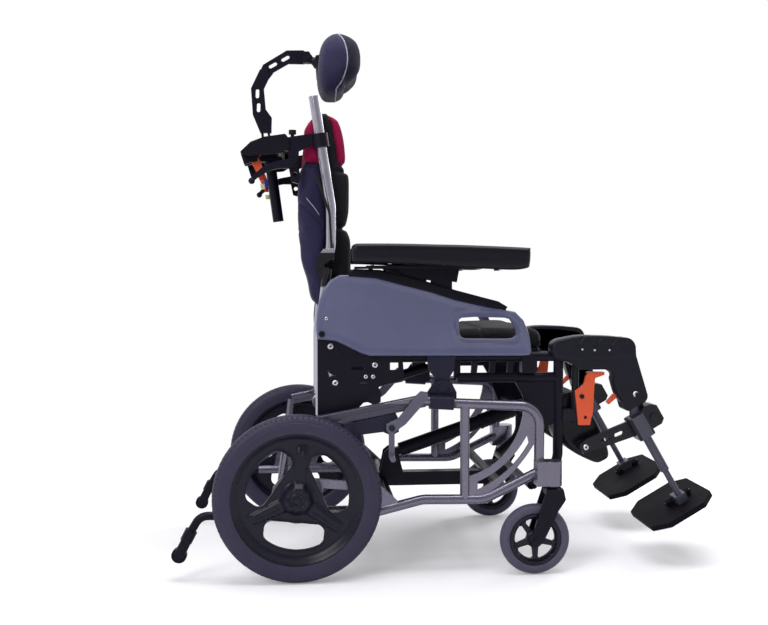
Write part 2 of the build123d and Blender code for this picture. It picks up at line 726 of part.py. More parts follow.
def seat_side():
    """Rails, slats, front post, strut gusset and recline plate of the right side."""
    y = -RAIL_Y
    upper = round_bar([(RAIL_REAR_X, y, SEAT_RAIL_Z), (RAIL_FRONT_X, y, SEAT_RAIL_Z)], TUBE_R)
    lower = round_bar([(22, y, SEAT_LOWER_Z), (RAIL_FRONT_X, y, SEAT_LOWER_Z)], TUBE_R)
    post = round_bar(
        [(FRONT_POST_X, y, 486), (FRONT_POST_X, y, 226), (POST_FOOT[0], y, POST_FOOT[1])],
        TUBE_R,
        bend=56,
    )
    gusset = side_plate(
        [(150, 412), (242, 412), (242, 318), (222, 310), (203, 311), (190, 322), (166, 384)],
        GUSSET_IN,
        GUSSET_T,
    )
    recline_plate = side_plate(
        [
            (-284, 504),
            (-226, 504),
            (-204, 484),
            (-182, 471),
            (-100, 471),
            (-96, 420),
            (-150, 404),
            (-212, 342),
            (-284, 342),
        ],
        PLATE_IN,
        PLATE_T,
    )
    front_block = side_plate([(164, 430), (194, 430), (194, 468), (164, 468)], RAIL_Y - TUBE_R, 2 * TUBE_R + 4)
    with BuildPart() as side:
        add(upper)
        add(lower)
        add(post)
        add(gusset)
        add(recline_plate)
        add(front_block)
        for x in SEAT_SLATS:
            with BuildSketch(right_plane(RAIL_Y - 5)):
                Polygon((x, SEAT_LOWER_Z), (x + 12, SEAT_LOWER_Z), (x + 18, SEAT_RAIL_Z), (x + 4, SEAT_RAIL_Z), align=None)
            extrude(amount=10)
        with BuildSketch(right_plane(RAIL_Y - 5)):
            with Locations((22, (SEAT_RAIL_Z + SEAT_LOWER_Z) / 2)):
                Rectangle(14, SEAT_RAIL_Z - SEAT_LOWER_Z)
        extrude(amount=10)
        # holes that the recline plate shows: triangle, arc slot and square window
        with BuildSketch(right_plane(PLATE_IN)):
            Polygon((-262, 441), (-245, 430), (-258, 424), align=None)
            with Locations((-198, 444)):
                SlotCenterToCenter(22, 7)
            with Locations((-186, 412)):
                SlotCenterToCenter(9, 6)
            with Locations((-118, 448)):
                Rectangle(18, 16)
        extrude(amount=PLATE_T, mode=Mode.SUBTRACT)
        # recline and armrest pins
        with BuildSketch(right_plane(RAIL_Y - TUBE_R)):
            with Locations((RECLINE_X, RECLINE_Z)):
                Circle(RECLINE_PIN_R)
        extrude(amount=PLATE_IN + PLATE_T + 1 - RAIL_Y + TUBE_R)
        with BuildSketch(right_plane(PLATE_IN + PLATE_T)):
            with Locations((RECLINE_X, RECLINE_Z)):
                RegularPolygon(8, 6)
            with Locations((-254, 492), (-228, 472), (-160, 462), (-182, 436), (-166, 436)):
                RegularPolygon(5, 6)
        extrude(amount=2)
        with BuildSketch(right_plane(PLATE_IN)):
            with Locations((ARM_HINGE_X, ARM_HINGE_Z)):
                Circle(9)
            with Locations((ARM_HINGE_X, ARM_HINGE_Z - 14)):
                Rectangle(18, 28)
        extrude(amount=PLATE_T)
        with BuildSketch(right_plane(PLATE_IN)):
            with Locations((ARM_HINGE_X, ARM_HINGE_Z)):
                Circle(ARM_PIN_R)
        extrude(amount=PANEL_OUT + 1 - PLATE_IN)
        with BuildSketch(right_plane(PANEL_OUT + GAP)):
            with Locations((ARM_HINGE_X, ARM_HINGE_Z)):
                Circle(6.5)
        extrude(amount=2)
        # bore of the hanger pin in the top of the post
        with BuildSketch(Plane.XY.offset(486)):
            with Locations((FRONT_POST_X, -RAIL_Y)):
                Circle(HANGER_PIN_R + FIT)
        extrude(amount=-60, mode=Mode.SUBTRACT)
    return side.part


def seat_frame():
    side = seat_side()
    with BuildPart() as frame:
        add(side)
        mirror(side, about=Plane.XZ)
        add(cross_bar(-206, SEAT_RAIL_Z, RAIL_Y, 9))
        add(cross_bar(150, SEAT_RAIL_Z, RAIL_Y, 9))
        add(cross_bar(POST_FOOT[0], POST_FOOT[1], RAIL_Y, 9))
        add(cross_bar(STRUT_HEAD[0], STRUT_HEAD[1], GUSSET_IN + 2, STRUT_HEAD_R))
    return frame.part


BRACKET_T = 14.0


def seat_brackets():
    """Castings on the rails that turn on the tilt pins, joined by the recline anchor tube."""
    with BuildPart() as cast:
        with BuildSketch(right_plane(RAIL_Y + TUBE_R)):
            with BuildLine():
                Polyline((-47, 471), (15, 471), (12, 440), (2, 424), (4, 404))
                ThreePointArc((4, 404), (TILT_X, TILT_Z - 17), (-33, 404))
                Polyline((-33, 404), (-31, 424), (-43, 440), (-47, 471))
            make_face()
            with Locations((TILT_X, TILT_Z)):
                Circle(TILT_PIN_R + FIT, mode=Mode.SUBTRACT)
        extrude(amount=BRACKET_T)
        with BuildSketch(right_plane(RAIL_Y - 8)):
            with Locations((-16, (SEAT_RAIL_Z - TUBE_R + 430) / 2)):
                Rectangle(40, SEAT_RAIL_Z - TUBE_R - 430)
        extrude(amount=8 + TUBE_R)
    with BuildPart() as brackets:
        add(cast.part)
        mirror(cast.part, about=Plane.XZ)
        add(cross_bar(*RECLINE_ANCHOR, RAIL_Y + 2, RECLINE_ANCHOR_R))
    return brackets.part


def seat_pan():
    with BuildPart() as pan:
        with BuildSketch(Plane.XY.offset(SEAT_PAN_Z)):
            RectangleRounded(420, 372, 18)
        extrude(amount=SEAT_PAN_T)
        # ribs under the pan, clear of the rails
        for x in (-150, -60, 60, 120):
            with BuildSketch(Plane.XY.offset(SEAT_PAN_Z)):
                with Locations((x, 0)):
                    Rectangle(8, 330)
            extrude(amount=-9)
        for side in (-1, 1):
            with BuildSketch(Plane.XY.offset(SEAT_RAIL_Z + TUBE_R)):
                with Locations((0, side * (RAIL_Y - 6))):
                    Rectangle(400, 8)
            extrude(amount=SEAT_PAN_Z - SEAT_RAIL_Z - TUBE_R)
    return pan.part


def seat_cushion():
    """Crowned cushion, higher at the front edge, with a shallow seat hollow."""
    base = SEAT_PAN_Z + SEAT_PAN_T
    with BuildPart() as cushion:
        with BuildSketch(Plane.XZ) as profile:
            with BuildLine():
                Polyline((-206, base), (208, base))
                ThreePointArc((208, base), (220, base + 18), (206, base + CUSHION_T - 8))
                ThreePointArc((206, base + CUSHION_T - 8), (150, base + CUSHION_T), (60, base + CUSHION_T - 4))
                ThreePointArc((60, base + CUSHION_T - 4), (-90, base + CUSHION_T - 10), (-198, base + CUSHION_T - 8))
                ThreePointArc((-198, base + CUSHION_T - 8), (-212, base + 18), (-206, base))
            make_face()
        extrude(amount=CUSHION_W / 2, both=True)
        fillet(cushion.faces().sort_by(Axis.Y)[0].edges(), 9)
        fillet(cushion.faces().sort_by(Axis.Y)[-1].edges(), 9)
    return cushion.part


# ---- armrests -------------------------------------------------------------------------
PANEL_POCKETS = (-75.0, -17.0)
POST_W = (40.0, 46.0)
POST_BOTTOM_Z = 506.0


def panel_outline(inset=0.0):
    """Outline of the side panel in its upright plane."""
    with BuildSketch() as outline:
        with BuildLine():
            Line((-283, 511), (-285, 578))
            ThreePointArc((-285, 578), (-272, 622), (-218, 653))
            ThreePointArc((-218, 653), (-160, 656), (-108, 639))
            ThreePointArc((-108, 639), (-50, 624), (15, 613))
            ThreePointArc((15, 613), (90, 589), (154, 557))
            ThreePointArc((154, 557), (173, 524), (181, 473))
            Line((181, 473), (-176, 473))
            ThreePointArc((-176, 473), (-212, 488), (-236, 503))
            Line((-236, 503), (-283, 511))
        make_face()
        if inset:
            offset(amount=-inset, kind=Kind.INTERSECTION)
    return outline.sketch


def hand_slot(grow=0.0):
    with BuildSketch() as slot:
        with BuildLine():
            Polyline((34, 549), (92, 549), (150, 520), (146, 508), (34, 508), (24, 520), (24, 540), close=True)
        make_face()
        fillet(slot.vertices(), 4)
        if grow:
            offset(amount=grow)
    return slot.sketch


def side_panel():
    """Moulded skirt guard: skin with a rolled rim, raised slot rim and two post sockets."""
    with BuildPart() as panel:
        with BuildSketch(right_plane(PANEL_IN)):
            add(panel_outline())
        extrude(amount=PANEL_OUT - PANEL_IN)
        with BuildSketch(right_plane(PANEL_IN)):
            add(panel_outline(3.5))
            with Locations((ARM_HINGE_X, ARM_HINGE_Z)):
                Circle(13, mode=Mode.SUBTRACT)
            add(hand_slot(5), mode=Mode.SUBTRACT)
            for x, w in zip(PANEL_POCKETS, POST_W):
                with Locations((x, 560)):
                    Rectangle(w + 8, 200, mode=Mode.SUBTRACT)
        extrude(amount=PANEL_OUT - PANEL_IN - PANEL_SKIN, mode=Mode.SUBTRACT)
        with BuildSketch(right_plane(PANEL_OUT)):
            add(hand_slot(5))
        extrude(amount=1.6, taper=30)
        with BuildSketch(right_plane(PANEL_IN)):
            add(hand_slot())
            with Locations((ARM_HINGE_X, ARM_HINGE_Z)):
                Circle(ARM_PIN_R + FIT)
        extrude(amount=PANEL_OUT - PANEL_IN + 2, mode=Mode.SUBTRACT)
        for x, w in zip(PANEL_POCKETS, POST_W):
            with BuildSketch(right_plane(POST_IN - 0.3)):
                with Locations((x, (POST_BOTTOM_Z - GAP + 700) / 2)):
                    Rectangle(w + 0.6, 700 - POST_BOTTOM_Z + GAP)
            extrude(amount=POST_T + 0.6, mode=Mode.SUBTRACT)
    return panel.part


POST_IN = PANEL_IN + 2.8


def armrest_post():
    """Two flat posts joined by the rail under the pad."""
    with BuildPart() as post:
        for x, w in zip(PANEL_POCKETS, POST_W):
            with BuildSketch(right_plane(POST_IN)):
                with Locations((x, (POST_BOTTOM_Z + 664) / 2)):
                    Rectangle(w, 664 - POST_BOTTOM_Z)
            extrude(amount=POST_T)
        with BuildSketch(Plane.XY.offset(660)):
            with Locations((-40, -(POST_IN + 24))):
                RectangleRounded(280, 48, 4)
        extrude(amount=6)
        with BuildSketch(right_plane(POST_IN - 2)):
            Polygon((-110, 662), (-100, 648), (16, 630), (22, 662), align=None)
        extrude(amount=POST_T + 4)
        for x in (-137, 97):
            with BuildSketch(Plane.XY.offset(655)):
                with Locations((x, -PAD_Y)):
                    RegularPolygon(6, 6)
            extrude(amount=5)
    return post.part


def arm_pad():
    """Moulded arm pad, deeper at its front end."""
    rear = -212
    front = rear + PAD_LENGTH
    with BuildPart() as pad:
        with BuildSketch(right_plane(PAD_Y - PAD_W / 2)) as profile:
            with BuildLine():
                Polyline(
                    (rear, 700),
                    (rear + 9, PAD_TOP_Z),
                    (front - 8, PAD_TOP_Z - 3),
                    (front, PAD_TOP_Z - 11),
                    (front, 679),
                    (front - 20, 659),
                    (front - 60, 666),
                    (rear + 12, 666),
                    (rear, 676),
                    close=True,
                )
            make_face()
            fillet(profile.vertices(), 5)
        extrude(amount=PAD_W)
        fillet(pad.faces().sort_by(Axis.Y)[0].edges(), 4.5)
        fillet(pad.faces().sort_by(Axis.Y)[-1].edges(), 4.5)
    return pad.part


# ---- back ------------------------------------------------------------------------------
LOWER_CROSS = (-277.0, 352.0)
LOWER_CROSS_R = 9.0
KNUCKLE_R = 8.6
KNUCKLE_IN = CANE_Y - 6
KNUCKLE_T = 12.0
CANE_LEAN = degrees(atan2(CANE_X - CANE_TOP_X, CANE_TOP_Z - CANE_BEND_Z))
CANE_UP = (-sin(radians(CANE_LEAN)), 0, cos(radians(CANE_LEAN)))


def cane_x(z):
    """Where the leaning upper part of the cane is at a height."""
    return CANE_X - (z - CANE_BEND_Z) * (CANE_X - CANE_TOP_X) / (CANE_TOP_Z - CANE_BEND_Z)


def back_lower_side():
    y = -CANE_Y
    cane = round_bar([(-262, y, 659), (-268, y, 600), (-277, y, 505), (-277, y, 342)], CANE_R, bend=120)
    lug = side_plate(
        [(-286, 442), (-264, 438), (-241, 422), (-236, 410), (-241, 400), (-256, 396), (-286, 384)],
        CANE_Y - 5,
        12,
    )
    with BuildPart() as side:
        add(cane)
        add(lug)
        with BuildSketch(right_plane(KNUCKLE_IN)):
            with Locations((FOLD_X, FOLD_Z)):
                Circle(KNUCKLE_R)
            Polygon((-285.6, 669), (-285.6, 648), (-274, 636), (-254, 640), (-256, 659), (-268, 664), (-268.4, 669), align=None)
        extrude(amount=KNUCKLE_T)
        with BuildSketch(right_plane(CANE_Y - 8)):
            with Locations((RECLINE_X, RECLINE_Z)):
                Circle(RECLINE_PIN_R + FIT)
        extrude(amount=20, mode=Mode.SUBTRACT)
        with BuildSketch(right_plane(CANE_Y - CANE_R + 0.2)):
            with Locations((FOLD_X, FOLD_Z)):
                Circle(FOLD_PIN_R)
        extrude(amount=2 * CANE_R + 1)
    return side.part


def back_lower_frame():
    side = back_lower_side()
    with BuildPart() as frame:
        add(side)
        mirror(side, about=Plane.XZ)
        add(cross_bar(*LOWER_CROSS, CANE_Y, LOWER_CROSS_R))
    return frame.part


def back_cane():
    y = -CANE_Y
    cane = round_bar(
        [(-258, y, 679), (CANE_X, y, 712), (CANE_X, y, CANE_BEND_Z), (CANE_TOP_X, y, CANE_TOP_Z)],
        CANE_R,
        bend=70,
    )
    cheeks = (
        (CANE_Y - CANE_R, KNUCKLE_IN - 0.3 - CANE_Y + CANE_R),
        (KNUCKLE_IN + KNUCKLE_T + 0.3, CANE_Y + CANE_R - KNUCKLE_IN - KNUCKLE_T - 0.3),
    )
    with BuildPart() as piece:
        add(cane)
        for inner, thickness in cheeks:
            with BuildSketch(right_plane(inner)):
                with Locations((FOLD_X, FOLD_Z)):
                    Circle(KNUCKLE_R)
                Polygon((-285.6, 669), (-283, 686), (-270, 702), (-246, 702), (-246, 684), (-268.4, 669), align=None)
            extrude(amount=thickness)
        with BuildSketch(right_plane(CANE_Y - CANE_R - 1)):
            with Locations((FOLD_X, FOLD_Z)):
                Circle(FOLD_PIN_R + FIT)
        extrude(amount=2 * CANE_R + 2, mode=Mode.SUBTRACT)
        # open top end of the tube
        with BuildSketch(Plane(origin=(CANE_TOP_X, y, CANE_TOP_Z), z_dir=CANE_UP)):
            Circle(CANE_R - 1.8)
        extrude(amount=-30, mode=Mode.SUBTRACT)
    return piece.part


def back_canes():
    """Upper canes, joined by the lumbar stretcher under the shell."""
    cane = back_cane()
    with BuildPart() as canes:
        add(cane)
        mirror(cane, about=Plane.XZ)
    return canes.part


BACK_TOP_Z = 1001.0


def back_shell():
    """Rear half of the upholstery: a shell that bulges behind the canes."""
    with BuildPart() as shell:
        with BuildSketch(Plane.XZ) as profile:
            with BuildLine():
                Line((-262, 592), (-262, 794))
                Line((-262, 794), (-292, 992))
                ThreePointArc((-292, 992), (-312, 956), (-310, 889))
                Line((-310, 889), (-318, 879))
                ThreePointArc((-318, 879), (-326, 795), (-318, 717))
                ThreePointArc((-318, 717), (-300, 655), (-288, 600))
                Line((-288, 600), (-262, 592))
            make_face()
        extrude(amount=BACK_HALF_W, both=True)
        # rounded rear corners, seen from above
        with BuildSketch(Plane.XY.offset(580)) as plan:
            with Locations((-262, 0)):
                RectangleRounded(140, 2 * BACK_HALF_W, 30)
        extrude(amount=430, mode=Mode.INTERSECT)
    return shell.part


def back_cushion():
    """Front pads: head panel, chest pad and lumbar pad, with drawn-in channels between them."""
    with BuildPart() as cushion:
        with BuildSketch(Plane.XZ) as profile:
            with BuildLine():
                Line((-262, 566), (-262, 794))
                Line((-262, 794), (-292, 992))
                ThreePointArc((-292, 992), (-272, 1003), (-252, 996))
                ThreePointArc((-252, 996), (-221, 930), (-224, 866))
                ThreePointArc((-224, 866), (-213, 806), (-224, 748))
                ThreePointArc((-224, 748), (-205, 668), (-214, 584))
                ThreePointArc((-214, 584), (-236, 562), (-262, 566))
            make_face()
        extrude(amount=BACK_HALF_W, both=True)
        fillet(cushion.faces().sort_by(Axis.Y)[0].edges().sort_by(Axis.X)[-3:], 13)
        fillet(cushion.faces().sort_by(Axis.Y)[-1].edges().sort_by(Axis.X)[-3:], 13)
    return cushion.part


CABLE_R = 2.5


def brake_cables():
    y = -(CANE_Y + CANE_R + CABLE_R + 0.3)
    run = round_bar(
        [(-286, y, 862), (CANE_X - 3, y, 778), (CANE_X + 1, y, 704)],
        CABLE_R,
        bend=60,
    )
    return both_sides(run)


# ---- push bar ----------------------------------------------------------------------------
RING_Z = 934.0
RING_L = 30.0
RING_R = 17.5
RING_OPEN_Y = 175.4
ARM_IN = 176.0
ARM_T = 10.0
PUSH_CROSS = (-366.0, 926.0)
PUSH_CROSS_R = 10.0
POST_R = 12.4
POST_FOOT_XZ = (-371.0, 770.0)
POST_HEAD_XZ = (-397.0, 962.0)
POST_LEAN = degrees(atan2(POST_FOOT_XZ[0] - POST_HEAD_XZ[0], POST_HEAD_XZ[1] - POST_FOOT_XZ[1]))
POST_UP = (-sin(radians(POST_LEAN)), 0, cos(radians(POST_LEAN)))
LEVER_PIVOT = (-332.0, 886.0)
LEVER_PIN_R = 3.0
LEVER_IN = 180.0
LEVER_T = 9.0
COVER_HALF_W = 192.0
TRIGGER_PIVOT = (-418.0, 900.0)
TRIGGER_Y = 150.0
TRIGGER_W = 24.0


def post_x(z):
    return POST_FOOT_XZ[0] - (z - POST_FOOT_XZ[1]) * (POST_FOOT_XZ[0] - POST_HEAD_XZ[0]) / (
        POST_HEAD_XZ[1] - POST_FOOT_XZ[1]
    )


def push_bar_side():
    ring_plane = Plane(origin=(cane_x(RING_Z), -CANE_Y, RING_Z), z_dir=CANE_UP)
    with BuildPart() as side:
        with BuildSketch(ring_plane):
            Circle(RING_R)
        extrude(amount=RING_L / 2, both=True)
        with BuildSketch(right_plane(ARM_IN)):
            Polygon(
                (-270, 948),
                (-292, 950),
                (-330, 944),
                (-376, 936),
                (-376, 916),
                (-345, 912),
                (-345, 880),
                (-338, 846),
                (-324, 842),
                (-318, 856),
                (-324, 880),
                (-322, 912),
                (-292, 926),
                (-266, 922),
                align=None,
            )
        extrude(amount=ARM_T)
        with BuildSketch(right_plane(ARM_IN - 1)):
            with Locations((-331, 862)):
                Circle(5)
        extrude(amount=ARM_T + 2, mode=Mode.SUBTRACT)
        # lever pin
        with BuildSketch(right_plane(ARM_IN + ARM_T - 2)):
            with Locations(LEVER_PIVOT):
                Circle(LEVER_PIN_R)
        extrude(amount=LEVER_IN + 6 + LEVER_T + 3 - ARM_IN - ARM_T + 2)
        # spring-loaded locking knob on the arm
        with BuildSketch(Plane.XY.offset(938)):
            with Locations((-336, -(ARM_IN + ARM_T / 2))):
                Circle(4)
        extrude(amount=12)
        with BuildSketch(Plane.XY.offset(948)):
            with Locations((-336, -(ARM_IN + ARM_T / 2))):
                Circle(8)
        extrude(amount=9)
        with BuildSketch(ring_plane.offset(-40)):
            Circle(CANE_R + FIT)
        extrude(amount=80, mode=Mode.SUBTRACT)
        # the ring is open towards the upholstery
        with BuildSketch(Plane.XY.offset(900)):
            with Locations((-280, -(RING_OPEN_Y - 10))):
                Rectangle(80, 20)
        extrude(amount=80, mode=Mode.SUBTRACT)
    return side.part


def push_bar():
    side = push_bar_side()
    clamp_z = 908
    with BuildPart() as bar:
        add(side)
        mirror(side, about=Plane.XZ)
        add(cross_bar(*PUSH_CROSS, COVER_HALF_W - 4, PUSH_CROSS_R))
        with BuildSketch(Plane.XY.offset(clamp_z)):
            with Locations((-386, 0)):
                RectangleRounded(50, 42, 6)
        extrude(amount=22)
        with BuildSketch(Plane(origin=(post_x(clamp_z - 20), 0, clamp_z - 20), z_dir=POST_UP)):
            Circle(POST_R + FIT)
        extrude(amount=80, mode=Mode.SUBTRACT)
    return bar.part


def push_bar_cover():
    """Moulded hood over the cross tube, with closed ends and an open underside."""
    outline = [(-450, 906), (-425, 930), (-397, 941), (-351, 948), (-343, 937), (-343, 918), (-362, 906), (-432, 900)]
    with BuildPart() as cover:
        with BuildSketch(Plane.XZ) as profile:
            Polygon(*outline, align=None)
            fillet(profile.vertices(), 4)
        extrude(amount=COVER_HALF_W, both=True)
        with BuildSketch(Plane.XZ) as inside:
            Polygon((-446, 890), (-446, 906), (-423, 927), (-396, 937.5), (-354, 944), (-330, 944), (-330, 890), align=None)
        extrude(amount=COVER_HALF_W - 4, both=True, mode=Mode.SUBTRACT)
        with BuildSketch(Plane(origin=(post_x(920), 0, 920), z_dir=POST_UP)):
            Circle(POST_R + 3)
        extrude(amount=40, mode=Mode.SUBTRACT)
        # rear lip that hangs below the hood and carries the triggers
        for y in (-TRIGGER_Y, TRIGGER_Y):
            with BuildSketch(Plane.XZ.offset(y - TRIGGER_W / 2 - 9)):
                Polygon((-447, 906), (-440, 884), (-412, 892), (-404, 938), (-424, 928), align=None)
            extrude(amount=8)
            with BuildSketch(Plane.XZ.offset(y + TRIGGER_W / 2 + 1)):
                Polygon((-447, 906), (-440, 884), (-412, 892), (-404, 938), (-424, 928), align=None)
            extrude(amount=8)
            with BuildSketch(Plane.XZ.offset(y - TRIGGER_W / 2 - 3)):
                with Locations(TRIGGER_PIVOT):
                    Circle(2.5)
            extrude(amount=TRIGGER_W + 6)
    return cover.part


def brake_lever():
    """Curved lever under the push bar, with a ball at its end."""
    y = -(LEVER_IN + 6.5 + LEVER_T / 2)
    with BuildPart() as lever:
        with BuildSketch(right_plane(-y - LEVER_T / 2)):
            with BuildLine():
                Polyline((-326, 892), (-344, 894), (-366, 890))
                ThreePointArc((-366, 890), (-399, 876), (-424, 853))
                Line((-424, 853), (-419, 846))
                ThreePointArc((-419, 846), (-394, 864), (-362, 874))
                Polyline((-362, 874), (-342, 874), (-328, 878), (-326, 892))
            make_face()
        extrude(amount=LEVER_T)
        with Locations((-423, y, 847)):
            Sphere(7)
        with BuildSketch(right_plane(-y - LEVER_T)):
            with Locations(LEVER_PIVOT):
                Circle(LEVER_PIN_R + FIT)
        extrude(amount=2 * LEVER_T, mode=Mode.SUBTRACT)
    return lever.part


def trigger():
    """Moulded pull trigger under the hood."""
    with BuildPart() as paddle:
        with BuildSketch(right_plane(TRIGGER_Y - TRIGGER_W / 2)):
            with BuildLine():
                Polyline((-424, 903), (-411, 903), (-406, 893))
                ThreePointArc((-406, 893), (-402, 880), (-404, 868))
                Line((-404, 868), (-414, 866))
                ThreePointArc((-414, 866), (-420, 880), (-427, 892))
                Line((-427, 892), (-424, 903))
            make_face()
            with Locations(TRIGGER_PIVOT):
                Circle(2.5 + FIT, mode=Mode.SUBTRACT)
        extrude(amount=TRIGGER_W)
    return paddle.part


# ---- headrest ------------------------------------------------------------------------------
ELBOW = (-404.0, 1112.0)
ELBOW_PIN_R = 4.0
ARM_PLATE_T = 5.0
NECK = (-299.0, 1150.0)
NECK_PIN_R = 4.0


def headrest_post():
    """Post tube, its two guide rods and the lower slotted arm."""
    with BuildPart() as post:
        with BuildSketch(Plane(origin=(POST_FOOT_XZ[0], 0, POST_FOOT_XZ[1]), z_dir=POST_UP)):
            Circle(POST_R)
        extrude(amount=(POST_HEAD_XZ[1] - POST_FOOT_XZ[1]) / cos(radians(POST_LEAN)))
        for x in (-7.5, 7.5):
            with BuildSketch(Plane(origin=(POST_HEAD_XZ[0] + x, 0, POST_HEAD_XZ[1] - 8), z_dir=POST_UP)):
                Circle(3)
            extrude(amount=34)
        with BuildSketch(Plane.XZ.offset(-ARM_PLATE_T / 2)) as face:
            Polygon(
                (-412, 976),
                (-386, 976),
                (-385, 1011),
                (-399, 1030),
                (-403, 1077),
                (-390, 1104),
                (-396, 1124),
                (-412, 1122),
                (-433, 1078),
                (-429, 1017),
                align=None,
            )
            fillet(face.vertices(), 3)
            for spot in ((-418, 1066), (-415.5, 1034)):
                with Locations(spot):
                    SlotCenterToCenter(13, 8, rotation=88, mode=Mode.SUBTRACT)
        extrude(amount=ARM_PLATE_T)
        with BuildSketch(Plane.XZ.offset(-9)):
            with Locations((-399, 983)):
                Rectangle(26, 14)
        extrude(amount=18)
        with BuildSketch(Plane.XZ.offset(-ARM_PLATE_T / 2 - ARM_PLATE_T - 3)):
            with Locations(ELBOW):
                Circle(ELBOW_PIN_R)
        extrude(amount=ARM_PLATE_T + 3)
    return post.part


def headrest_link():
    """Upper slotted arm with the ball clamp at its front end."""
    with BuildPart() as link:
        with BuildSketch(Plane.XZ.offset(-ARM_PLATE_T * 1.5 - GAP)) as face:
            Polygon(
                (-419, 1104),
                (-405, 1134),
                (-350, 1168),
                (-312, 1169),
                (-300, 1162),
                (-292, 1154),
                (-294, 1141),
                (-312, 1137),
                (-346, 1137),
                (-380, 1117),
                (-394, 1098),
                align=None,
            )
            fillet(face.vertices(), 3)
            for spot in ((-382, 1133), (-353, 1149)):
                with Locations(spot):
                    SlotCenterToCenter(13, 8, rotation=30, mode=Mode.SUBTRACT)
            with Locations(ELBOW):
                Circle(ELBOW_PIN_R + FIT, mode=Mode.SUBTRACT)
        extrude(amount=ARM_PLATE_T)
        with BuildSketch(Plane.XZ.offset(-9)):
            Polygon((-312, 1164), (-298, 1164), (-291, 1152), (-296, 1138), (-312, 1138), align=None)
        extrude(amount=18)
        with BuildSketch(Plane.XZ.offset(-4.5)):
            with Locations(NECK):
                Circle(10)
            Polygon((-300, 1168), (-270, 1168), (-270, 1130), (-300, 1130), align=None)
        extrude(amount=9, mode=Mode.SUBTRACT)
        with BuildSketch(Plane.XZ.offset(-11)):
            with Locations(NECK):
                Circle(NECK_PIN_R)
        extrude(amount=22)
    return link.part


def headrest_pad():
    """Mounting plate and stem, and the padded rest with its lower lobe."""
    with BuildPart() as mount:
        with BuildSketch(Plane.XZ.offset(-4)):
            with Locations(NECK):
                Circle(8.5)
            Polygon((-299, 1157), (-282, 1152), (-282, 1126), (-299, 1143), align=None)
            with Locations(NECK):
                Circle(NECK_PIN_R + FIT, mode=Mode.SUBTRACT)
        extrude(amount=8)
        with BuildSketch(Plane.XZ.offset(-24)):
            Polygon((-284, 1152), (-268, 1156), (-267, 1104), (-281, 1104), align=None)
        extrude(amount=48)
    with BuildPart() as pad:
        with BuildSketch(Plane.XZ.offset(-104)) as outline:
            with BuildLine():
                Spline(
                    (-229, 1197),
                    (-198, 1187),
                    (-182, 1152),
                    (-182, 1106),
                    (-205, 1066),
                    (-222, 1049),
                    (-246, 1041),
                    (-270, 1052),
                    (-273, 1100),
                    (-272, 1150),
                    (-256, 1187),
                    periodic=True,
                )
            make_face()
        extrude(amount=208)
        with BuildSketch(Plane.XY.offset(1030)):
            with Locations((-227, 0)):
                RectangleRounded(104, 208, 40)
        extrude(amount=180, mode=Mode.INTERSECT)
    with BuildPart() as rest:
        add(mount.part)
        add(pad.part)
    return rest.part


# ---- legrests --------------------------------------------------------------------------------
HANGER_PIN_R = 7.0
HANGER_IN = LEG_Y - HANGER_W / 2
TONGUE_T = 12.0
RELEASE_PIVOT = (298.0, 378.0)
RELEASE_PIN_R = 3.0
RELEASE_IN = 199.0
RELEASE_T = 5.0
CALF_ALONG = -45.0
CALF_ACROSS = -131.0
CALF_PIN_R = 4.0
CALF_OUT = 170.0
CALF_W = 112.0
HINGE_ALONG = 172.0
HINGE_Y = 172.0
HINGE_PIN_R = 4.0
PLATE_TOP = 180.0
PLATE_REAR = -95.0
PLATE_INNER_Y = 48.0
PLATE_OUTER_Y = 250.0
LEG_DOWN = (cos(radians(LEG_PITCH)), -sin(radians(LEG_PITCH)))
LEG_FORWARD = (sin(radians(LEG_PITCH)), cos(radians(LEG_PITCH)))


def leg(along, across):
    """Side-view point from a place along the leg tube and one in front of it."""
    return (
        LEG_X + along * LEG_DOWN[0] + across * LEG_FORWARD[0],
        LEG_Z + along * LEG_DOWN[1] + across * LEG_FORWARD[1],
    )


def leg_point(along, across, y):
    x, z = leg(along, across)
    return (x, -y, z)


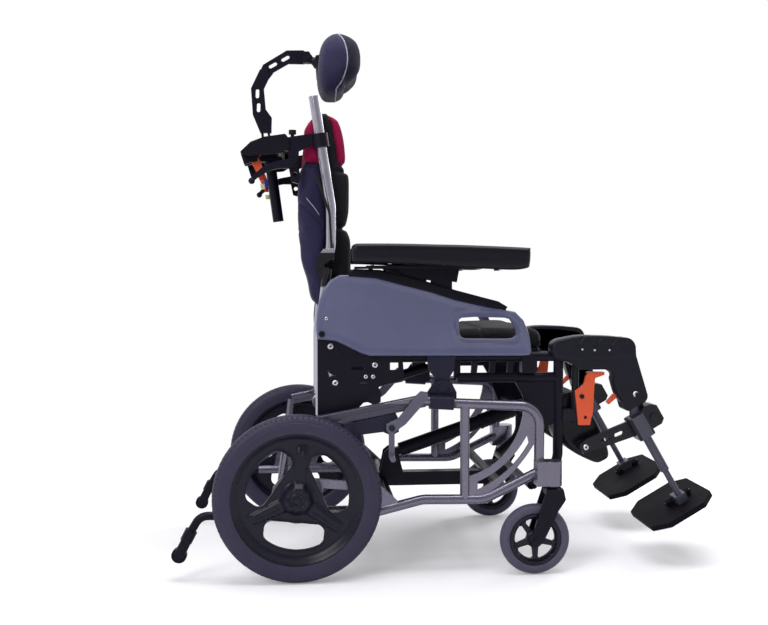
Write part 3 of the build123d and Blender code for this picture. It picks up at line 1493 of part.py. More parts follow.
def legrest_hanger():
    """Moulded arm that hooks over the front post and carries the knee pivot."""
    with BuildPart() as hanger:
        with BuildSketch(right_plane(HANGER_IN)) as profile:
            with BuildLine():
                Polyline((238, 486.5), (240, 496), (269, 508))
                ThreePointArc((269, 508), (330, 512), (388, 508))
                ThreePointArc((388, 508), (408, 502), (416, 484))
                Polyline((416, 484), (417, 468), (443, 384))
                ThreePointArc((443, 384), (442, 370), (428, 361))
                Line((428, 361), (407, 348))
                ThreePointArc((407, 348), (398, 346), (391, 354))
                Line((391, 354), (369, 424))
                ThreePointArc((369, 424), (362, 435), (350, 438))
                Polyline((350, 438), (293, 438), (264, 455), (264, 486.5), (238, 486.5))
            make_face()
        extrude(amount=HANGER_W)
        with BuildSketch(right_plane(LEG_Y - TONGUE_T / 2 - 1)):
            Polygon((397, 340), (397, 392), (412, 398), (460, 398), (460, 340), align=None)
        extrude(amount=TONGUE_T + 2, mode=Mode.SUBTRACT)
        with BuildSketch(right_plane(HANGER_IN - 2)):
            with Locations((KNEE_X, KNEE_Z)):
                Circle(KNEE_PIN_R)
        extrude(amount=HANGER_W + 4)
        with BuildSketch(right_plane(HANGER_IN + HANGER_W)):
            with Locations((KNEE_X, KNEE_Z)):
                RegularPolygon(8, 6)
        extrude(amount=2.5)
        # pin that drops into the front post
        with BuildSketch(Plane.XY.offset(490)):
            with Locations((FRONT_POST_X, -RAIL_Y)):
                Circle(HANGER_PIN_R)
        extrude(amount=-52)
        # drop tube with the saddle that rests against the post
        add(round_bar([(287, -RAIL_Y - 1, 445), (287, -RAIL_Y - 1, 318)], 8))
        with BuildSketch(Plane.XY.offset(322)):
            with Locations((275, -RAIL_Y)):
                Rectangle(36, 20)
            with Locations((FRONT_POST_X, -RAIL_Y)):
                Circle(TUBE_R + GAP, mode=Mode.SUBTRACT)
        extrude(amount=26)
        with BuildSketch(right_plane(RAIL_Y)):
            with Locations(RELEASE_PIVOT):
                Circle(9)
        extrude(amount=RELEASE_IN - GAP - RAIL_Y)
        with BuildSketch(right_plane(RAIL_Y)):
            with Locations(RELEASE_PIVOT):
                Circle(RELEASE_PIN_R)
        extrude(amount=RELEASE_IN + RELEASE_T + 1 - RAIL_Y)
        with BuildSketch(right_plane(RELEASE_IN + RELEASE_T + GAP)):
            with Locations(RELEASE_PIVOT):
                RegularPolygon(5.5, 6)
        extrude(amount=2.5)
    return hanger.part


def release_lever():
    with BuildPart() as lever:
        with BuildSketch(right_plane(RELEASE_IN)) as face:
            Polygon(
                (311, 431),
                (349, 431),
                (349, 425),
                (328, 418),
                (326, 394),
                (324, 345),
                (317, 314),
                (291, 314),
                (283, 390),
                (302, 404),
                (306, 420),
                align=None,
            )
            fillet(face.vertices(), 2)
            with Locations(RELEASE_PIVOT):
                Circle(RELEASE_PIN_R + FIT, mode=Mode.SUBTRACT)
            with Locations((307, 331)):
                Circle(4, mode=Mode.SUBTRACT)
        extrude(amount=RELEASE_T)
        with BuildSketch(right_plane(RELEASE_IN - 13)):
            Polygon((312, 431), (349, 431), (349, 427), (312, 427), align=None)
        extrude(amount=13 + RELEASE_T)
    return lever.part


def legrest_tube():
    """Knee tongue, clamp, telescoping tubes, calf bar and footplate hinge."""
    tube_plane = Plane(origin=leg_point(-20, 0, LEG_Y), z_dir=(LEG_DOWN[0], 0, LEG_DOWN[1]), x_dir=(0, 1, 0))
    with BuildPart() as piece:
        with BuildSketch(right_plane(LEG_Y - TONGUE_T / 2)):
            with Locations((KNEE_X, KNEE_Z)):
                Circle(13)
            Polygon((409, 380), (435, 380), (440, 352), leg(-40, 14), leg(-40, -14), (410, 352), align=None)
        extrude(amount=TONGUE_T)
        with BuildSketch(right_plane(LEG_Y - 20)) as clamp:
            Polygon(leg(-50, -21), leg(-50, 18), leg(4, 18), leg(4, -21), align=None)
            fillet(clamp.vertices(), 4)
        extrude(amount=40)
        with BuildSketch(right_plane(LEG_Y - 17)) as block:
            Polygon(leg(-60, 19), leg(-60, 38), leg(-50, 50), leg(-16, 50), leg(-8, 40), leg(-8, 10), leg(-48, 10), align=None)
            fillet(block.vertices(), 3)
        extrude(amount=38)
        with BuildSketch(right_plane(LEG_Y + 21)):
            with Locations(leg(-30, 32)):
                Circle(9)
        extrude(amount=4)
        with BuildSketch(tube_plane):
            Circle(LEG_TUBE_R)
        extrude(amount=114)
        with BuildSketch(tube_plane):
            Circle(LEG_ROD_R)
        extrude(amount=HINGE_ALONG + 22)
        with BuildSketch(right_plane(LEG_Y - LEG_TUBE_R - 2)):
            with Locations(leg(86, 0)):
                Circle(4)
        extrude(amount=2 * LEG_TUBE_R + 4)
        with BuildSketch(right_plane(LEG_Y - 4)):
            Polygon(leg(-46, -18), leg(-60, -122), leg(-56, -142), leg(-34, -142), leg(-8, -18), align=None)
            for along, across in ((-32, -52), (-37, -84)):
                with Locations(leg(along, across)):
                    SlotCenterToCenter(12, 9, rotation=22, mode=Mode.SUBTRACT)
            with Locations(leg(CALF_ALONG, CALF_ACROSS)):
                Circle(CALF_PIN_R + FIT, mode=Mode.SUBTRACT)
        extrude(amount=8)
        # footplate hinge block and pin
        with BuildSketch(right_plane(HINGE_Y - 4)):
            Polygon(leg(158, -13), leg(158, 13), leg(178, 13), leg(178, -13), align=None)
        extrude(amount=LEG_Y + LEG_ROD_R + 6 - HINGE_Y)
        with BuildSketch(
            Plane(
                origin=leg_point(HINGE_ALONG, -34, HINGE_Y),
                z_dir=(LEG_FORWARD[0], 0, LEG_FORWARD[1]),
                x_dir=(0, 1, 0),
            )
        ):
            Circle(HINGE_PIN_R)
        extrude(amount=68)
        with BuildSketch(right_plane(LEG_Y - TONGUE_T)):
            with Locations((KNEE_X, KNEE_Z)):
                Circle(KNEE_PIN_R + FIT)
        extrude(amount=2 * TONGUE_T, mode=Mode.SUBTRACT)
    return piece.part


def calf_pad():
    """Calf pad with its bracket and pivot pin."""
    with BuildPart() as pad:
        with BuildSketch(right_plane(CALF_OUT - CALF_W)) as profile:
            with BuildLine():
                Spline(
                    leg(-150, -137),
                    leg(-72, -166),
                    leg(0, -130),
                    leg(14, -106),
                    leg(2, -84),
                    leg(-78, -74),
                    leg(-154, -84),
                    leg(-168, -112),
                    periodic=True,
                )
            make_face()
        extrude(amount=CALF_W)
        fillet(pad.faces().sort_by(Axis.Y)[0].edges(), 9)
        fillet(pad.faces().sort_by(Axis.Y)[-1].edges(), 9)
        with BuildSketch(right_plane(CALF_OUT - 6)):
            with Locations(leg(CALF_ALONG, CALF_ACROSS)):
                Circle(10)
        extrude(amount=LEG_Y - 4 - GAP - CALF_OUT + 6)
        with BuildSketch(right_plane(CALF_OUT - 6)):
            with Locations(leg(CALF_ALONG, CALF_ACROSS)):
                Circle(CALF_PIN_R)
        extrude(amount=LEG_Y + 5 - CALF_OUT + 6)
        with BuildSketch(right_plane(LEG_Y + 4 + GAP)):
            with Locations(leg(CALF_ALONG, CALF_ACROSS)):
                RegularPolygon(7, 6)
        extrude(amount=3)
    return pad.part


def footplate():
    """Octagonal moulded plate with a rim below, on two hinge lugs."""
    top = Plane(
        origin=leg_point(PLATE_TOP, 0, 0),
        x_dir=(LEG_FORWARD[0], 0, LEG_FORWARD[1]),
        z_dir=(-LEG_DOWN[0], 0, -LEG_DOWN[1]),
    )
    front = PLATE_REAR + FOOTPLATE_L
    cut = 34
    outline = [
        (PLATE_REAR, -PLATE_INNER_Y - cut),
        (PLATE_REAR + cut, -PLATE_INNER_Y),
        (front - cut, -PLATE_INNER_Y),
        (front, -PLATE_INNER_Y - cut),
        (front, -PLATE_OUTER_Y + cut),
        (front - cut, -PLATE_OUTER_Y),
        (PLATE_REAR + cut, -PLATE_OUTER_Y),
        (PLATE_REAR, -PLATE_OUTER_Y + cut),
    ]
    with BuildPart() as plate:
        with BuildSketch(top) as face:
            Polygon(*outline, align=None)
            fillet(face.vertices(), 6)
        extrude(amount=-FOOTPLATE_T)
        with BuildSketch(top.offset(-4)) as hollow:
            Polygon(*outline, align=None)
            offset(amount=-4, kind=Kind.INTERSECTION)
            for u in (-60, -17, 26):
                with Locations((u, -150)):
                    Rectangle(3, 220, mode=Mode.SUBTRACT)
            for v in (-100, -200):
                with Locations((-17, v)):
                    Rectangle(180, 3, mode=Mode.SUBTRACT)
        extrude(amount=-FOOTPLATE_T, mode=Mode.SUBTRACT)
        for side in (-1, 1):
            with BuildSketch(
                Plane(
                    origin=leg_point(PLATE_TOP, side * 22, HINGE_Y),
                    x_dir=(0, 1, 0),
                    z_dir=(LEG_FORWARD[0], 0, LEG_FORWARD[1]),
                )
            ):
                with Locations((0, 4)):
                    Rectangle(17, 12)
                with Locations((0, PLATE_TOP - HINGE_ALONG)):
                    Circle(8.5)
                with Locations((0, PLATE_TOP - HINGE_ALONG)):
                    Circle(HINGE_PIN_R + FIT, mode=Mode.SUBTRACT)
            extrude(amount=7, both=True)
    return plate.part


# ---- gas struts ----------------------------------------------------------------------------------
TILT_TUBE_R = 16.5
TILT_TUBE_L = 238.0
TILT_ROD_R = 8.0
TILT_BORE_L = 190.0
TILT_EYE_SHIFT = 2.25
RECLINE_TUBE_R = 11.0
RECLINE_TUBE_L = 150.0
RECLINE_ROD_R = 5.0
RECLINE_BORE_L = 120.0
RECLINE_STRUT_Y = 40.0
RECLINE_OPEN_EYE = 1.8
RECLINE_EYE_SHIFT = 1.0


def strut_plane(foot, head, y):
    run = Vector(head[0] - foot[0], 0, head[1] - foot[1])
    return Plane(origin=(foot[0], y, foot[1]), z_dir=run, x_dir=(0, 1, 0))


def eye(spot, y, half_width, outer, bore):
    with BuildPart() as ring:
        with BuildSketch(Plane.XZ.offset(-y - half_width)):
            with Locations(spot):
                Circle(outer)
                Circle(bore, mode=Mode.SUBTRACT)
        extrude(amount=2 * half_width)
    return ring.part


def tilt_cylinder():
    axis = strut_plane(STRUT_FOOT, STRUT_HEAD, 0)
    ring = eye(STRUT_FOOT, 0, STRUT_EAR_IN - GAP, 11, STRUT_FOOT_PIN_R + FIT)
    with BuildPart() as cylinder:
        add(ring)
        with BuildSketch(axis.offset(8)):
            Rectangle(16, 18)
        extrude(amount=18)
        with BuildSketch(axis.offset(24)):
            Circle(TILT_TUBE_R)
        extrude(amount=TILT_TUBE_L - 24)
        with BuildSketch(axis.offset(TILT_TUBE_L)):
            Circle(TILT_ROD_R + FIT)
        extrude(amount=-TILT_BORE_L, mode=Mode.SUBTRACT)
    return cylinder.part


def tilt_rod():
    axis = strut_plane(STRUT_FOOT, STRUT_HEAD, 0)
    length = hypot(STRUT_HEAD[0] - STRUT_FOOT[0], STRUT_HEAD[1] - STRUT_FOOT[1]) + TILT_EYE_SHIFT
    head = axis.from_local_coords((0, 0, length))
    bore = STRUT_HEAD_R + OPEN_EYE
    with BuildPart() as rod:
        with BuildSketch(axis.offset(TILT_TUBE_L - TILT_BORE_L + 10)):
            Circle(TILT_ROD_R)
        extrude(amount=length - bore - TILT_TUBE_L + TILT_BORE_L - 10 - 2)
        add(eye((head.X, head.Z), 0, 11, bore + 6, bore))
    return rod.part


def recline_cylinder():
    axis = strut_plane(RECLINE_ANCHOR, LOWER_CROSS, -RECLINE_STRUT_Y)
    with BuildPart() as cylinder:
        add(eye(RECLINE_ANCHOR, -RECLINE_STRUT_Y, 9, 14, RECLINE_ANCHOR_R + FIT))
        with BuildSketch(axis.offset(11)):
            Circle(7)
        extrude(amount=14)
        with BuildSketch(axis.offset(22)):
            Circle(RECLINE_TUBE_R)
        extrude(amount=RECLINE_TUBE_L - 22)
        with BuildSketch(axis.offset(RECLINE_TUBE_L)):
            Circle(RECLINE_ROD_R + FIT)
        extrude(amount=-RECLINE_BORE_L, mode=Mode.SUBTRACT)
    return cylinder.part


def recline_rod():
    axis = strut_plane(RECLINE_ANCHOR, LOWER_CROSS, -RECLINE_STRUT_Y)
    length = hypot(LOWER_CROSS[0] - RECLINE_ANCHOR[0], LOWER_CROSS[1] - RECLINE_ANCHOR[1]) + RECLINE_EYE_SHIFT
    head = axis.from_local_coords((0, 0, length))
    bore = LOWER_CROSS_R + RECLINE_OPEN_EYE
    with BuildPart() as rod:
        with BuildSketch(axis.offset(RECLINE_TUBE_L - RECLINE_BORE_L + 45)):
            Circle(RECLINE_ROD_R)
        extrude(amount=length - bore - 2 - RECLINE_TUBE_L + RECLINE_BORE_L - 45)
        add(eye((head.X, head.Z), -RECLINE_STRUT_Y, 8, bore + 5, bore))
    return rod.part


# ---- write every piece -----------------------------------------------------------------------------
os.makedirs("parts", exist_ok=True)

save_both(side_frame(), "side_frame")
save(cross_frame(), "cross_frame")
save(both_sides(axle_and_brake()), "rear_axles")
save(both_sides(tilt_bearing()), "tilt_bearings")
save(both_sides(lock_mount()), "lock_mounts")
save_both(rear_tyre(), "rear_tyre")
save_both(rear_rim(), "rear_rim")
save_both(caster_fork(), "caster_fork")
save_both(caster_tyre(), "caster_tyre")
save_both(caster_hub(), "caster_hub")
save_both(anti_tip(), "anti_tip")
save_both(anti_tip_roller(), "anti_tip_roller")
save_both(lock_lever(), "lock_lever")
save(seat_frame(), "seat_frame")
save(seat_brackets(), "seat_brackets")
save(seat_pan(), "seat_pan")
save(seat_cushion(), "seat_cushion")
save_both(side_panel(), "side_panel")
save_both(armrest_post(), "armrest_post")
save_both(arm_pad(), "arm_pad")
save(back_lower_frame(), "back_lower_frame")
save(back_canes(), "back_canes")
save(back_shell(), "back_shell")
save(back_cushion(), "back_cushion")
save(brake_cables(), "brake_cables")
save(push_bar(), "push_bar")
save(push_bar_cover(), "push_bar_cover")
save_both(brake_lever(), "brake_lever")
save_both(trigger(), "trigger")
save(headrest_post(), "headrest_post")
save(headrest_link(), "headrest_link")
save(headrest_pad(), "headrest_pad")
save_both(legrest_hanger(), "legrest_hanger")
save_both(release_lever(), "release_lever")
save_both(legrest_tube(), "legrest_tube")
save_both(calf_pad(), "calf_pad")
save_both(footplate(), "footplate")
save(tilt_cylinder(), "tilt_cylinder")
save(tilt_rod(), "tilt_rod")
save(recline_cylinder(), "recline_cylinder")
save(recline_rod(), "recline_rod")
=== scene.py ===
import bpy
import bmesh
import math
from contextlib import contextmanager
from mathutils import Vector, Matrix, noise
from mathutils.bvhtree import BVHTree
from mathutils.kdtree import KDTree
from mathutils.geometry import delaunay_2d_cdt


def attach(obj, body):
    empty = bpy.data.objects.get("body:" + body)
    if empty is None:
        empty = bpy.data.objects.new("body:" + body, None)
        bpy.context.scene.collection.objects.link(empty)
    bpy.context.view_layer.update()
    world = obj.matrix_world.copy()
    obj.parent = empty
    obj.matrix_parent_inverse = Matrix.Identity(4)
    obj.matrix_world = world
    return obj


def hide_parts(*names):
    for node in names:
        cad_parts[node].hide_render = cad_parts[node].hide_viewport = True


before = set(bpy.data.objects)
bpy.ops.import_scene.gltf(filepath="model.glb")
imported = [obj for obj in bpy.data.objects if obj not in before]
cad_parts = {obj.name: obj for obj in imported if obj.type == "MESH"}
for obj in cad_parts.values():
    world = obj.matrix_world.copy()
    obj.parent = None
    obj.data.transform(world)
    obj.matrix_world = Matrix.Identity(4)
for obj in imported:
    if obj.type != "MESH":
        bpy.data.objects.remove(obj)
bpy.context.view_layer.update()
SIDES = (("right", -1.0), ("left", 1.0))
MM = 0.001


# ---- camera: level, with no roll and no lens shift ----
IMAGE_WIDTH = 768.0
FOCAL_PIXELS = 963.382
SENSOR_MM = 36.0
CAMERA_PLACE = (-0.318, -2.276241, 0.653845)
YAW, PITCH = 0.08555, 0.04274


def add_camera():
    ahead = Vector((math.sin(YAW) * math.cos(PITCH), math.cos(YAW) * math.cos(PITCH), -math.sin(PITCH)))
    across = Vector((math.cos(YAW), -math.sin(YAW), 0.0))
    up = across.cross(ahead)
    data = bpy.data.cameras.new("camera")
    data.sensor_fit = "HORIZONTAL"
    data.sensor_width = SENSOR_MM
    data.lens = FOCAL_PIXELS * SENSOR_MM / IMAGE_WIDTH
    data.clip_end = 60.0
    cam = bpy.data.objects.new("camera", data)
    rows = [(across[i], up[i], -ahead[i], CAMERA_PLACE[i]) for i in range(3)]
    cam.matrix_world = Matrix((*rows, (0, 0, 0, 1)))
    bpy.context.collection.objects.link(cam)
    bpy.context.scene.camera = cam


add_camera()


# ---- node helpers ----
class Nodes:
    """The node tree of a new material, or of a world, with short ways to add nodes."""

    def __init__(self, name, world=None):
        self.mat = world or bpy.data.materials.new(name)
        self.mat.use_nodes = True
        self.tree = self.mat.node_tree
        self.bsdf = self.tree.nodes.get("Principled BSDF")
        self.coord = self.tree.nodes.new("ShaderNodeTexCoord")

    def add(self, kind, **settings):
        node = self.tree.nodes.new(kind)
        for key, value in settings.items():
            if key in node.inputs:
                node.inputs[key].default_value = value
            else:
                setattr(node, key, value)
        return node

    def link(self, a, b):
        self.tree.links.new(a, b)

    def give(self, socket, value):
        self.link(value, self.bsdf.inputs[socket])

    def set(self, **values):
        for key, value in values.items():
            self.bsdf.inputs[key.replace("_", " ")].default_value = value

    def math(self, op, a, b=None):
        node = self.add("ShaderNodeMath", operation=op)
        for i, value in enumerate((a, b)):
            if value is None:
                continue
            if isinstance(value, (int, float)):
                node.inputs[i].default_value = value
            else:
                self.link(value, node.inputs[i])
        return node.outputs[0]

    def times(self, a, b):
        return self.math("MULTIPLY", a, b)

    def plus(self, a, b):
        return self.math("ADD", a, b)

    def minus(self, a, b):
        return self.math("SUBTRACT", a, b)

    def noise(self, scale, detail, rough=0.55):
        node = self.add("ShaderNodeTexNoise", Scale=scale, Detail=detail, Roughness=rough)
        self.link(self.coord.outputs["Object"], node.inputs["Vector"])
        return node.outputs[0]

    def spread(self, value, low, high, to_low, to_high):
        node = self.add("ShaderNodeMapRange")
        self.link(value, node.inputs[0])
        for i, number in enumerate((low, high, to_low, to_high)):
            node.inputs[i + 1].default_value = number
        return node.outputs[0]

    def mix(self, factor, a, b):
        node = self.add("ShaderNodeMix", data_type="RGBA")
        self.link(factor, node.inputs[0])
        for socket, value in ((node.inputs[6], a), (node.inputs[7], b)):
            if isinstance(value, tuple):
                socket.default_value = (*value[:3], 1.0)
            else:
                self.link(value, socket)
        return node.outputs[2]

    def xyz(self):
        node = self.add("ShaderNodeSeparateXYZ")
        self.link(self.coord.outputs["Object"], node.inputs[0])
        return node.outputs

    def bump(self, height, strength, distance, normal=None):
        node = self.add("ShaderNodeBump", Strength=strength, Distance=distance)
        self.link(height, node.inputs["Height"])
        if normal is not None:
            self.link(normal, node.inputs["Normal"])
        return node.outputs[0]

    def length(self, a, b):
        return self.math("SQRT", self.plus(self.times(a, a), self.times(b, b)))

    def uneven(self, socket, scale, low, high):
        """A socket that drifts between two values over the surface."""
        self.give(socket, self.spread(self.noise(scale, 5.0), 0.3, 0.7, low, high))

    def mottle(self, colour, scale, detail, dark, pale):
        """A colour that drifts between a darker and a paler shade of itself."""
        drift = self.spread(self.noise(scale, detail), 0.3, 0.7, 0.0, 1.0)
        return self.mix(drift, scaled(colour, dark), scaled(colour, pale))

    def rounded(self, radius_mm):
        """Softly rounded normals, and a mask that is 1 along the edges."""
        soft = self.add("ShaderNodeBevel", samples=4, Radius=radius_mm / 1000.0)
        geo = self.add("ShaderNodeNewGeometry")
        dot = self.add("ShaderNodeVectorMath", operation="DOT_PRODUCT")
        self.link(soft.outputs[0], dot.inputs[0])
        self.link(geo.outputs["Normal"], dot.inputs[1])
        return soft.outputs[0], self.spread(dot.outputs["Value"], 0.82, 0.985, 1.0, 0.0)

    def ring(self, centre):
        """Angle and radius round a cross-axis through a point, in metres."""
        x = self.xyz()
        dx = self.minus(x[0], centre[0])
        dz = self.minus(x[2], centre[1])
        angle = self.math("ARCTAN2", dz, dx)
        return angle, self.length(dx, dz), x[1]


def scaled(colour, k):
    return tuple(min(1.0, max(0.0, c * k)) for c in colour)


def finish_colour(n, colour, blotch, edge_wear_and_highlight=None, edge=None):
    """Base colour with slow variation, and paler edges where asked: edge wear, and on the slate panel also a painted
    highlight along its rolled rim.
    """
    mixed = n.mottle(colour, 9.0, 4.0, 1.0 - blotch, 1.0 + blotch)
    if edge_wear_and_highlight:
        broken = n.times(edge, n.spread(n.noise(60.0, 5.0), 0.38, 0.62, 0.15, 0.8))
        mixed = n.mix(broken, mixed, edge_wear_and_highlight)
    n.give("Base Color", mixed)
    return mixed


EDGE_MM = 0.8


def metal(name, colour, rough=0.32, metallic=0.85, edge_wear_and_highlight=None, bands=None, other=None, spec=0.4):
    """Paint or bare metal; bands(n) gives a mask where another colour is used."""
    n = Nodes(name)
    soft, edge = n.rounded(EDGE_MM)
    base = finish_colour(n, colour, 0.07, edge_wear_and_highlight, edge)
    n.set(Metallic=metallic, Specular_IOR_Level=spec)
    if bands:
        mask = bands(n)
        n.give("Base Color", n.mix(mask, base, other))
        n.give("Metallic", n.spread(mask, 0.0, 1.0, metallic, 0.25))
    n.uneven("Roughness", 26.0, rough - 0.05, rough + 0.07)
    n.give("Normal", n.bump(n.noise(1900.0, 1.0), 0.025, 0.0001, soft))
    return n.mat


def plastic(name, colour, rough=0.45, grain=0.25, scale=900.0, edge_wear_and_highlight=None, round_mm=EDGE_MM, coat=0.0, spec=0.1):
    """Moulded plastic or foam skin with a fine cell grain."""
    n = Nodes(name)
    soft, edge = n.rounded(round_mm)
    finish_colour(n, colour, 0.07, edge_wear_and_highlight, edge)
    n.uneven("Roughness", 16.0, rough - 0.06, rough + 0.08)
    n.set(Specular_IOR_Level=spec, Coat_Weight=coat, Coat_Roughness=0.22)
    cells = n.add("ShaderNodeTexVoronoi", feature="SMOOTH_F1", Scale=scale)
    n.link(n.coord.outputs["Object"], cells.inputs["Vector"])
    n.give("Normal", n.bump(cells.outputs["Distance"], grain, 0.0003, soft))
    return n.mat


def rubber(name, colour, rough=0.6, dust=None, wheel=None, tread_r=0.0, blocks=0, spec=0.2):
    """Rubber with pale dust in patches; a wheel's has a moulded ring and a zigzag tread, its grooves painted darker as
    painted shade.
    """
    n = Nodes(name)
    base = finish_colour(n, colour, 0.1)
    if dust:
        patches = n.spread(n.noise(22.0, 6.0, 0.7), 0.45, 0.75, 0.0, 0.6)
        n.give("Base Color", n.mix(patches, base, dust))
    n.uneven("Roughness", 40.0, rough - 0.08, rough + 0.1)
    n.set(Specular_IOR_Level=spec)
    fine = n.bump(n.noise(700.0, 4.0), 0.22, 0.0004)
    if wheel:
        angle, radius, y = n.ring(wheel)
        across = n.math("ABSOLUTE", n.minus(n.math("ABSOLUTE", y), WHEEL_Y / 1000.0))
        turn = n.times(angle, blocks / (2 * math.pi))
        bend = n.times(n.math("PINGPONG", n.times(across, 160.0), 1.0), 0.7)
        saw = n.math("FRACT", n.plus(turn, bend))
        block = n.spread(n.math("PINGPONG", saw, 0.5), 0.06, 0.14, 0.0, 1.0)
        zone = n.spread(radius, tread_r - 0.001, tread_r + 0.001, 0.0, 1.0)
        low = n.minus(1.0, zone)
        height = n.plus(n.times(block, zone), low)
        fine = n.bump(height, 0.9, 0.0022, fine)
        lip = n.math("ABSOLUTE", n.minus(radius, tread_r - 0.0125))
        fine = n.bump(n.spread(lip, 0.0004, 0.0012, 0.0, 1.0), 0.6, 0.0008, fine)
        # the grooves between the tread blocks take a darker shade of the rubber: painted shade
        groove_shade = n.times(n.minus(1.0, block), zone)
        n.give("Base Color", n.mix(groove_shade, base, scaled(colour, 0.45)))
    n.give("Normal", fine)
    return n.mat


def woven(name, colour, pitch, rough, sheen, thread=None):
    """Plain weave: two crossed sets of rounded threads."""
    n = Nodes(name)
    x = n.xyz()
    k = 2.0 * math.pi / pitch
    w = n.times(*(n.math("SINE", n.times(x[i], k)) for i in (1, 2)))
    height = n.plus(n.times(w, 0.35), n.noise(420.0, 4.0))
    base = n.mottle(colour, 11.0, 5.0, 0.8, 1.22)
    n.give("Base Color", n.mix(n.spread(w, -1.0, 1.0, 0.35, 0.0), base, thread or scaled(colour, 0.55)))
    n.set(Roughness=rough, Sheen_Weight=sheen, Sheen_Roughness=0.4, Specular_IOR_Level=0.15)
    n.give("Normal", n.bump(height, 0.5, 0.0006))
    return n.mat


def air_mesh(name, colour, pitch=0.0034):
    """Spacer mesh: rounded ribs round small holes, the holes painted dark as painted shade."""
    n = Nodes(name)
    cells = n.add("ShaderNodeTexVoronoi", feature="DISTANCE_TO_EDGE", Scale=1.0 / pitch, Randomness=0.22)
    n.link(n.coord.outputs["Object"], cells.inputs["Vector"])
    rib = n.spread(cells.outputs["Distance"], 0.10, 0.34, 1.0, 0.0)
    base = n.mottle(colour, 12.0, 5.0, 0.85, 1.2)
    # the holes take a darker shade of the colour: painted shade in the openings
    n.give("Base Color", n.mix(rib, scaled(colour, 0.3), base))
    n.set(Roughness=0.75, Sheen_Weight=0.05, Specular_IOR_Level=0.12)
    height = n.plus(rib, n.times(n.noise(900.0, 3.0), 0.3))
    n.give("Normal", n.bump(height, 0.6, 0.0009))
    return n.mat


# masks, in metres: 1 where the other colour goes
def between(n, value, low, high, soft=0.0006):
    """1 where a value lies between two others."""
    up = n.spread(value, low - soft, low + soft, 0.0, 1.0)
    down = n.spread(value, high - soft, high + soft, 1.0, 0.0)
    return n.times(up, down)


def rear_bar_zone(n):
    x = n.xyz()
    return n.times(between(n, x[0], -0.30, 0.012), between(n, x[2], 0.335, 0.372))


def knuckle_zone(n):
    return n.spread(n.xyz()[2], 0.693, 0.695, 1.0, 0.0)


def above_hinge_zone(n):
    return n.spread(n.xyz()[2], 0.618, 0.622, 0.0, 1.0)


def leg_black_zone(n):
    x = n.xyz()
    a = n.times(n.minus(x[0], 0.446), 0.866)
    b = n.times(n.minus(x[2], 0.290), 0.5)
    return n.spread(n.math("ABSOLUTE", n.plus(a, b)), 0.0135, 0.0145, 0.0, 1.0)


WHEEL_X, WHEEL_Z, WHEEL_Y = -328.0, 178.0, 268.0
TREAD_BLOCKS = 96
TUBE_TONE = (0.43, 0.415, 0.49)
TUBE_BLACK = (0.008, 0.0075, 0.012)
FRAME_PAINT = metal(
    "frame_paint", (0.18, 0.167, 0.222), 0.25, 0.85, (0.34, 0.33, 0.38),
    bands=rear_bar_zone, other=(0.062, 0.056, 0.085),
)
DARK_PAINT = metal("dark_paint", (0.02, 0.0195, 0.04), 0.36, 0.2, (0.06, 0.06, 0.09), spec=0.15)
BLACK_PAINT = metal("black_paint", (0.0072, 0.0062, 0.0145), 0.33, 0.0, (0.028, 0.028, 0.036), spec=0.13)
GREY_PAINT = metal("grey_paint", (0.125, 0.12, 0.165), 0.34, 0.6, (0.2, 0.2, 0.24))
LEG_PAINT = metal(
    "leg_paint", (0.075, 0.075, 0.105), 0.3, 0.5, (0.16, 0.16, 0.2),
    bands=leg_black_zone, other=(0.012, 0.011, 0.017), spec=0.3,
)
STEEL = metal("steel", (0.62, 0.61, 0.65), 0.25, 1.0)
CANE = metal("cane_tube", TUBE_TONE, 0.2, 0.97, bands=knuckle_zone, other=TUBE_BLACK)
LOW_TUBE = metal("low_tube", TUBE_TONE, 0.2, 0.97, bands=above_hinge_zone, other=TUBE_BLACK)
RIM_BLACK = plastic("rim_black", (0.0085, 0.008, 0.019), 0.27, 0.08, edge_wear_and_highlight=(0.022, 0.022, 0.04), spec=0.24)
BLACK = plastic("black_plastic", (0.0068, 0.006, 0.0115), 0.42, 0.25, edge_wear_and_highlight=(0.03, 0.03, 0.035))
SOFT_BLACK = plastic("pad_foam", (0.0065, 0.006, 0.011), 0.32, 0.12, 700.0, coat=0.2, spec=0.1)
PLATE_BLACK = plastic("plate_black", (0.007, 0.006, 0.009), 0.6, 0.2, 900.0, spec=0.05)
COVER_BLACK = plastic("cover_black", (0.0125, 0.012, 0.02), 0.34, 0.25, 800.0, edge_wear_and_highlight=(0.035, 0.035, 0.048), spec=0.14)
# the slate's paler edge colour, over a 2.2 mm band, is partly edge wear and partly a painted highlight along the
# panel's rolled rim
SLATE = plastic(
    "slate_plastic", (0.100, 0.106, 0.205), 0.36, 0.12, 1200.0,
    edge_wear_and_highlight=(0.24, 0.24, 0.36), round_mm=2.2, coat=0.6, spec=0.3,
)
ORANGE = plastic("orange_plastic", (0.80, 0.115, 0.045), 0.34, 0.08, coat=0.2)
RED = plastic("red_plastic", (0.55, 0.018, 0.022), 0.34, 0.08, coat=0.2)
BLUE = plastic("blue_plastic", (0.02, 0.04, 0.28), 0.34, 0.08, coat=0.2)
CREAM = plastic("cream_plastic", (0.72, 0.68, 0.36), 0.34, 0.08, coat=0.2)
TYRE = rubber(
    "tyre", (0.034, 0.029, 0.062), 0.5, dust=(0.06, 0.053, 0.085), wheel=(WHEEL_X / 1000.0, WHEEL_Z / 1000.0),
    tread_r=0.1705, blocks=TREAD_BLOCKS, spec=0.3,
)
CASTER_TYRE = rubber("caster_tyre", (0.085, 0.08, 0.125), 0.42, dust=(0.105, 0.1, 0.15))
CABLE = rubber("cable", (0.008, 0.008, 0.01), 0.4)
NAVY = woven("navy_fabric", (0.026, 0.023, 0.066), 0.0012, 0.7, 0.12)
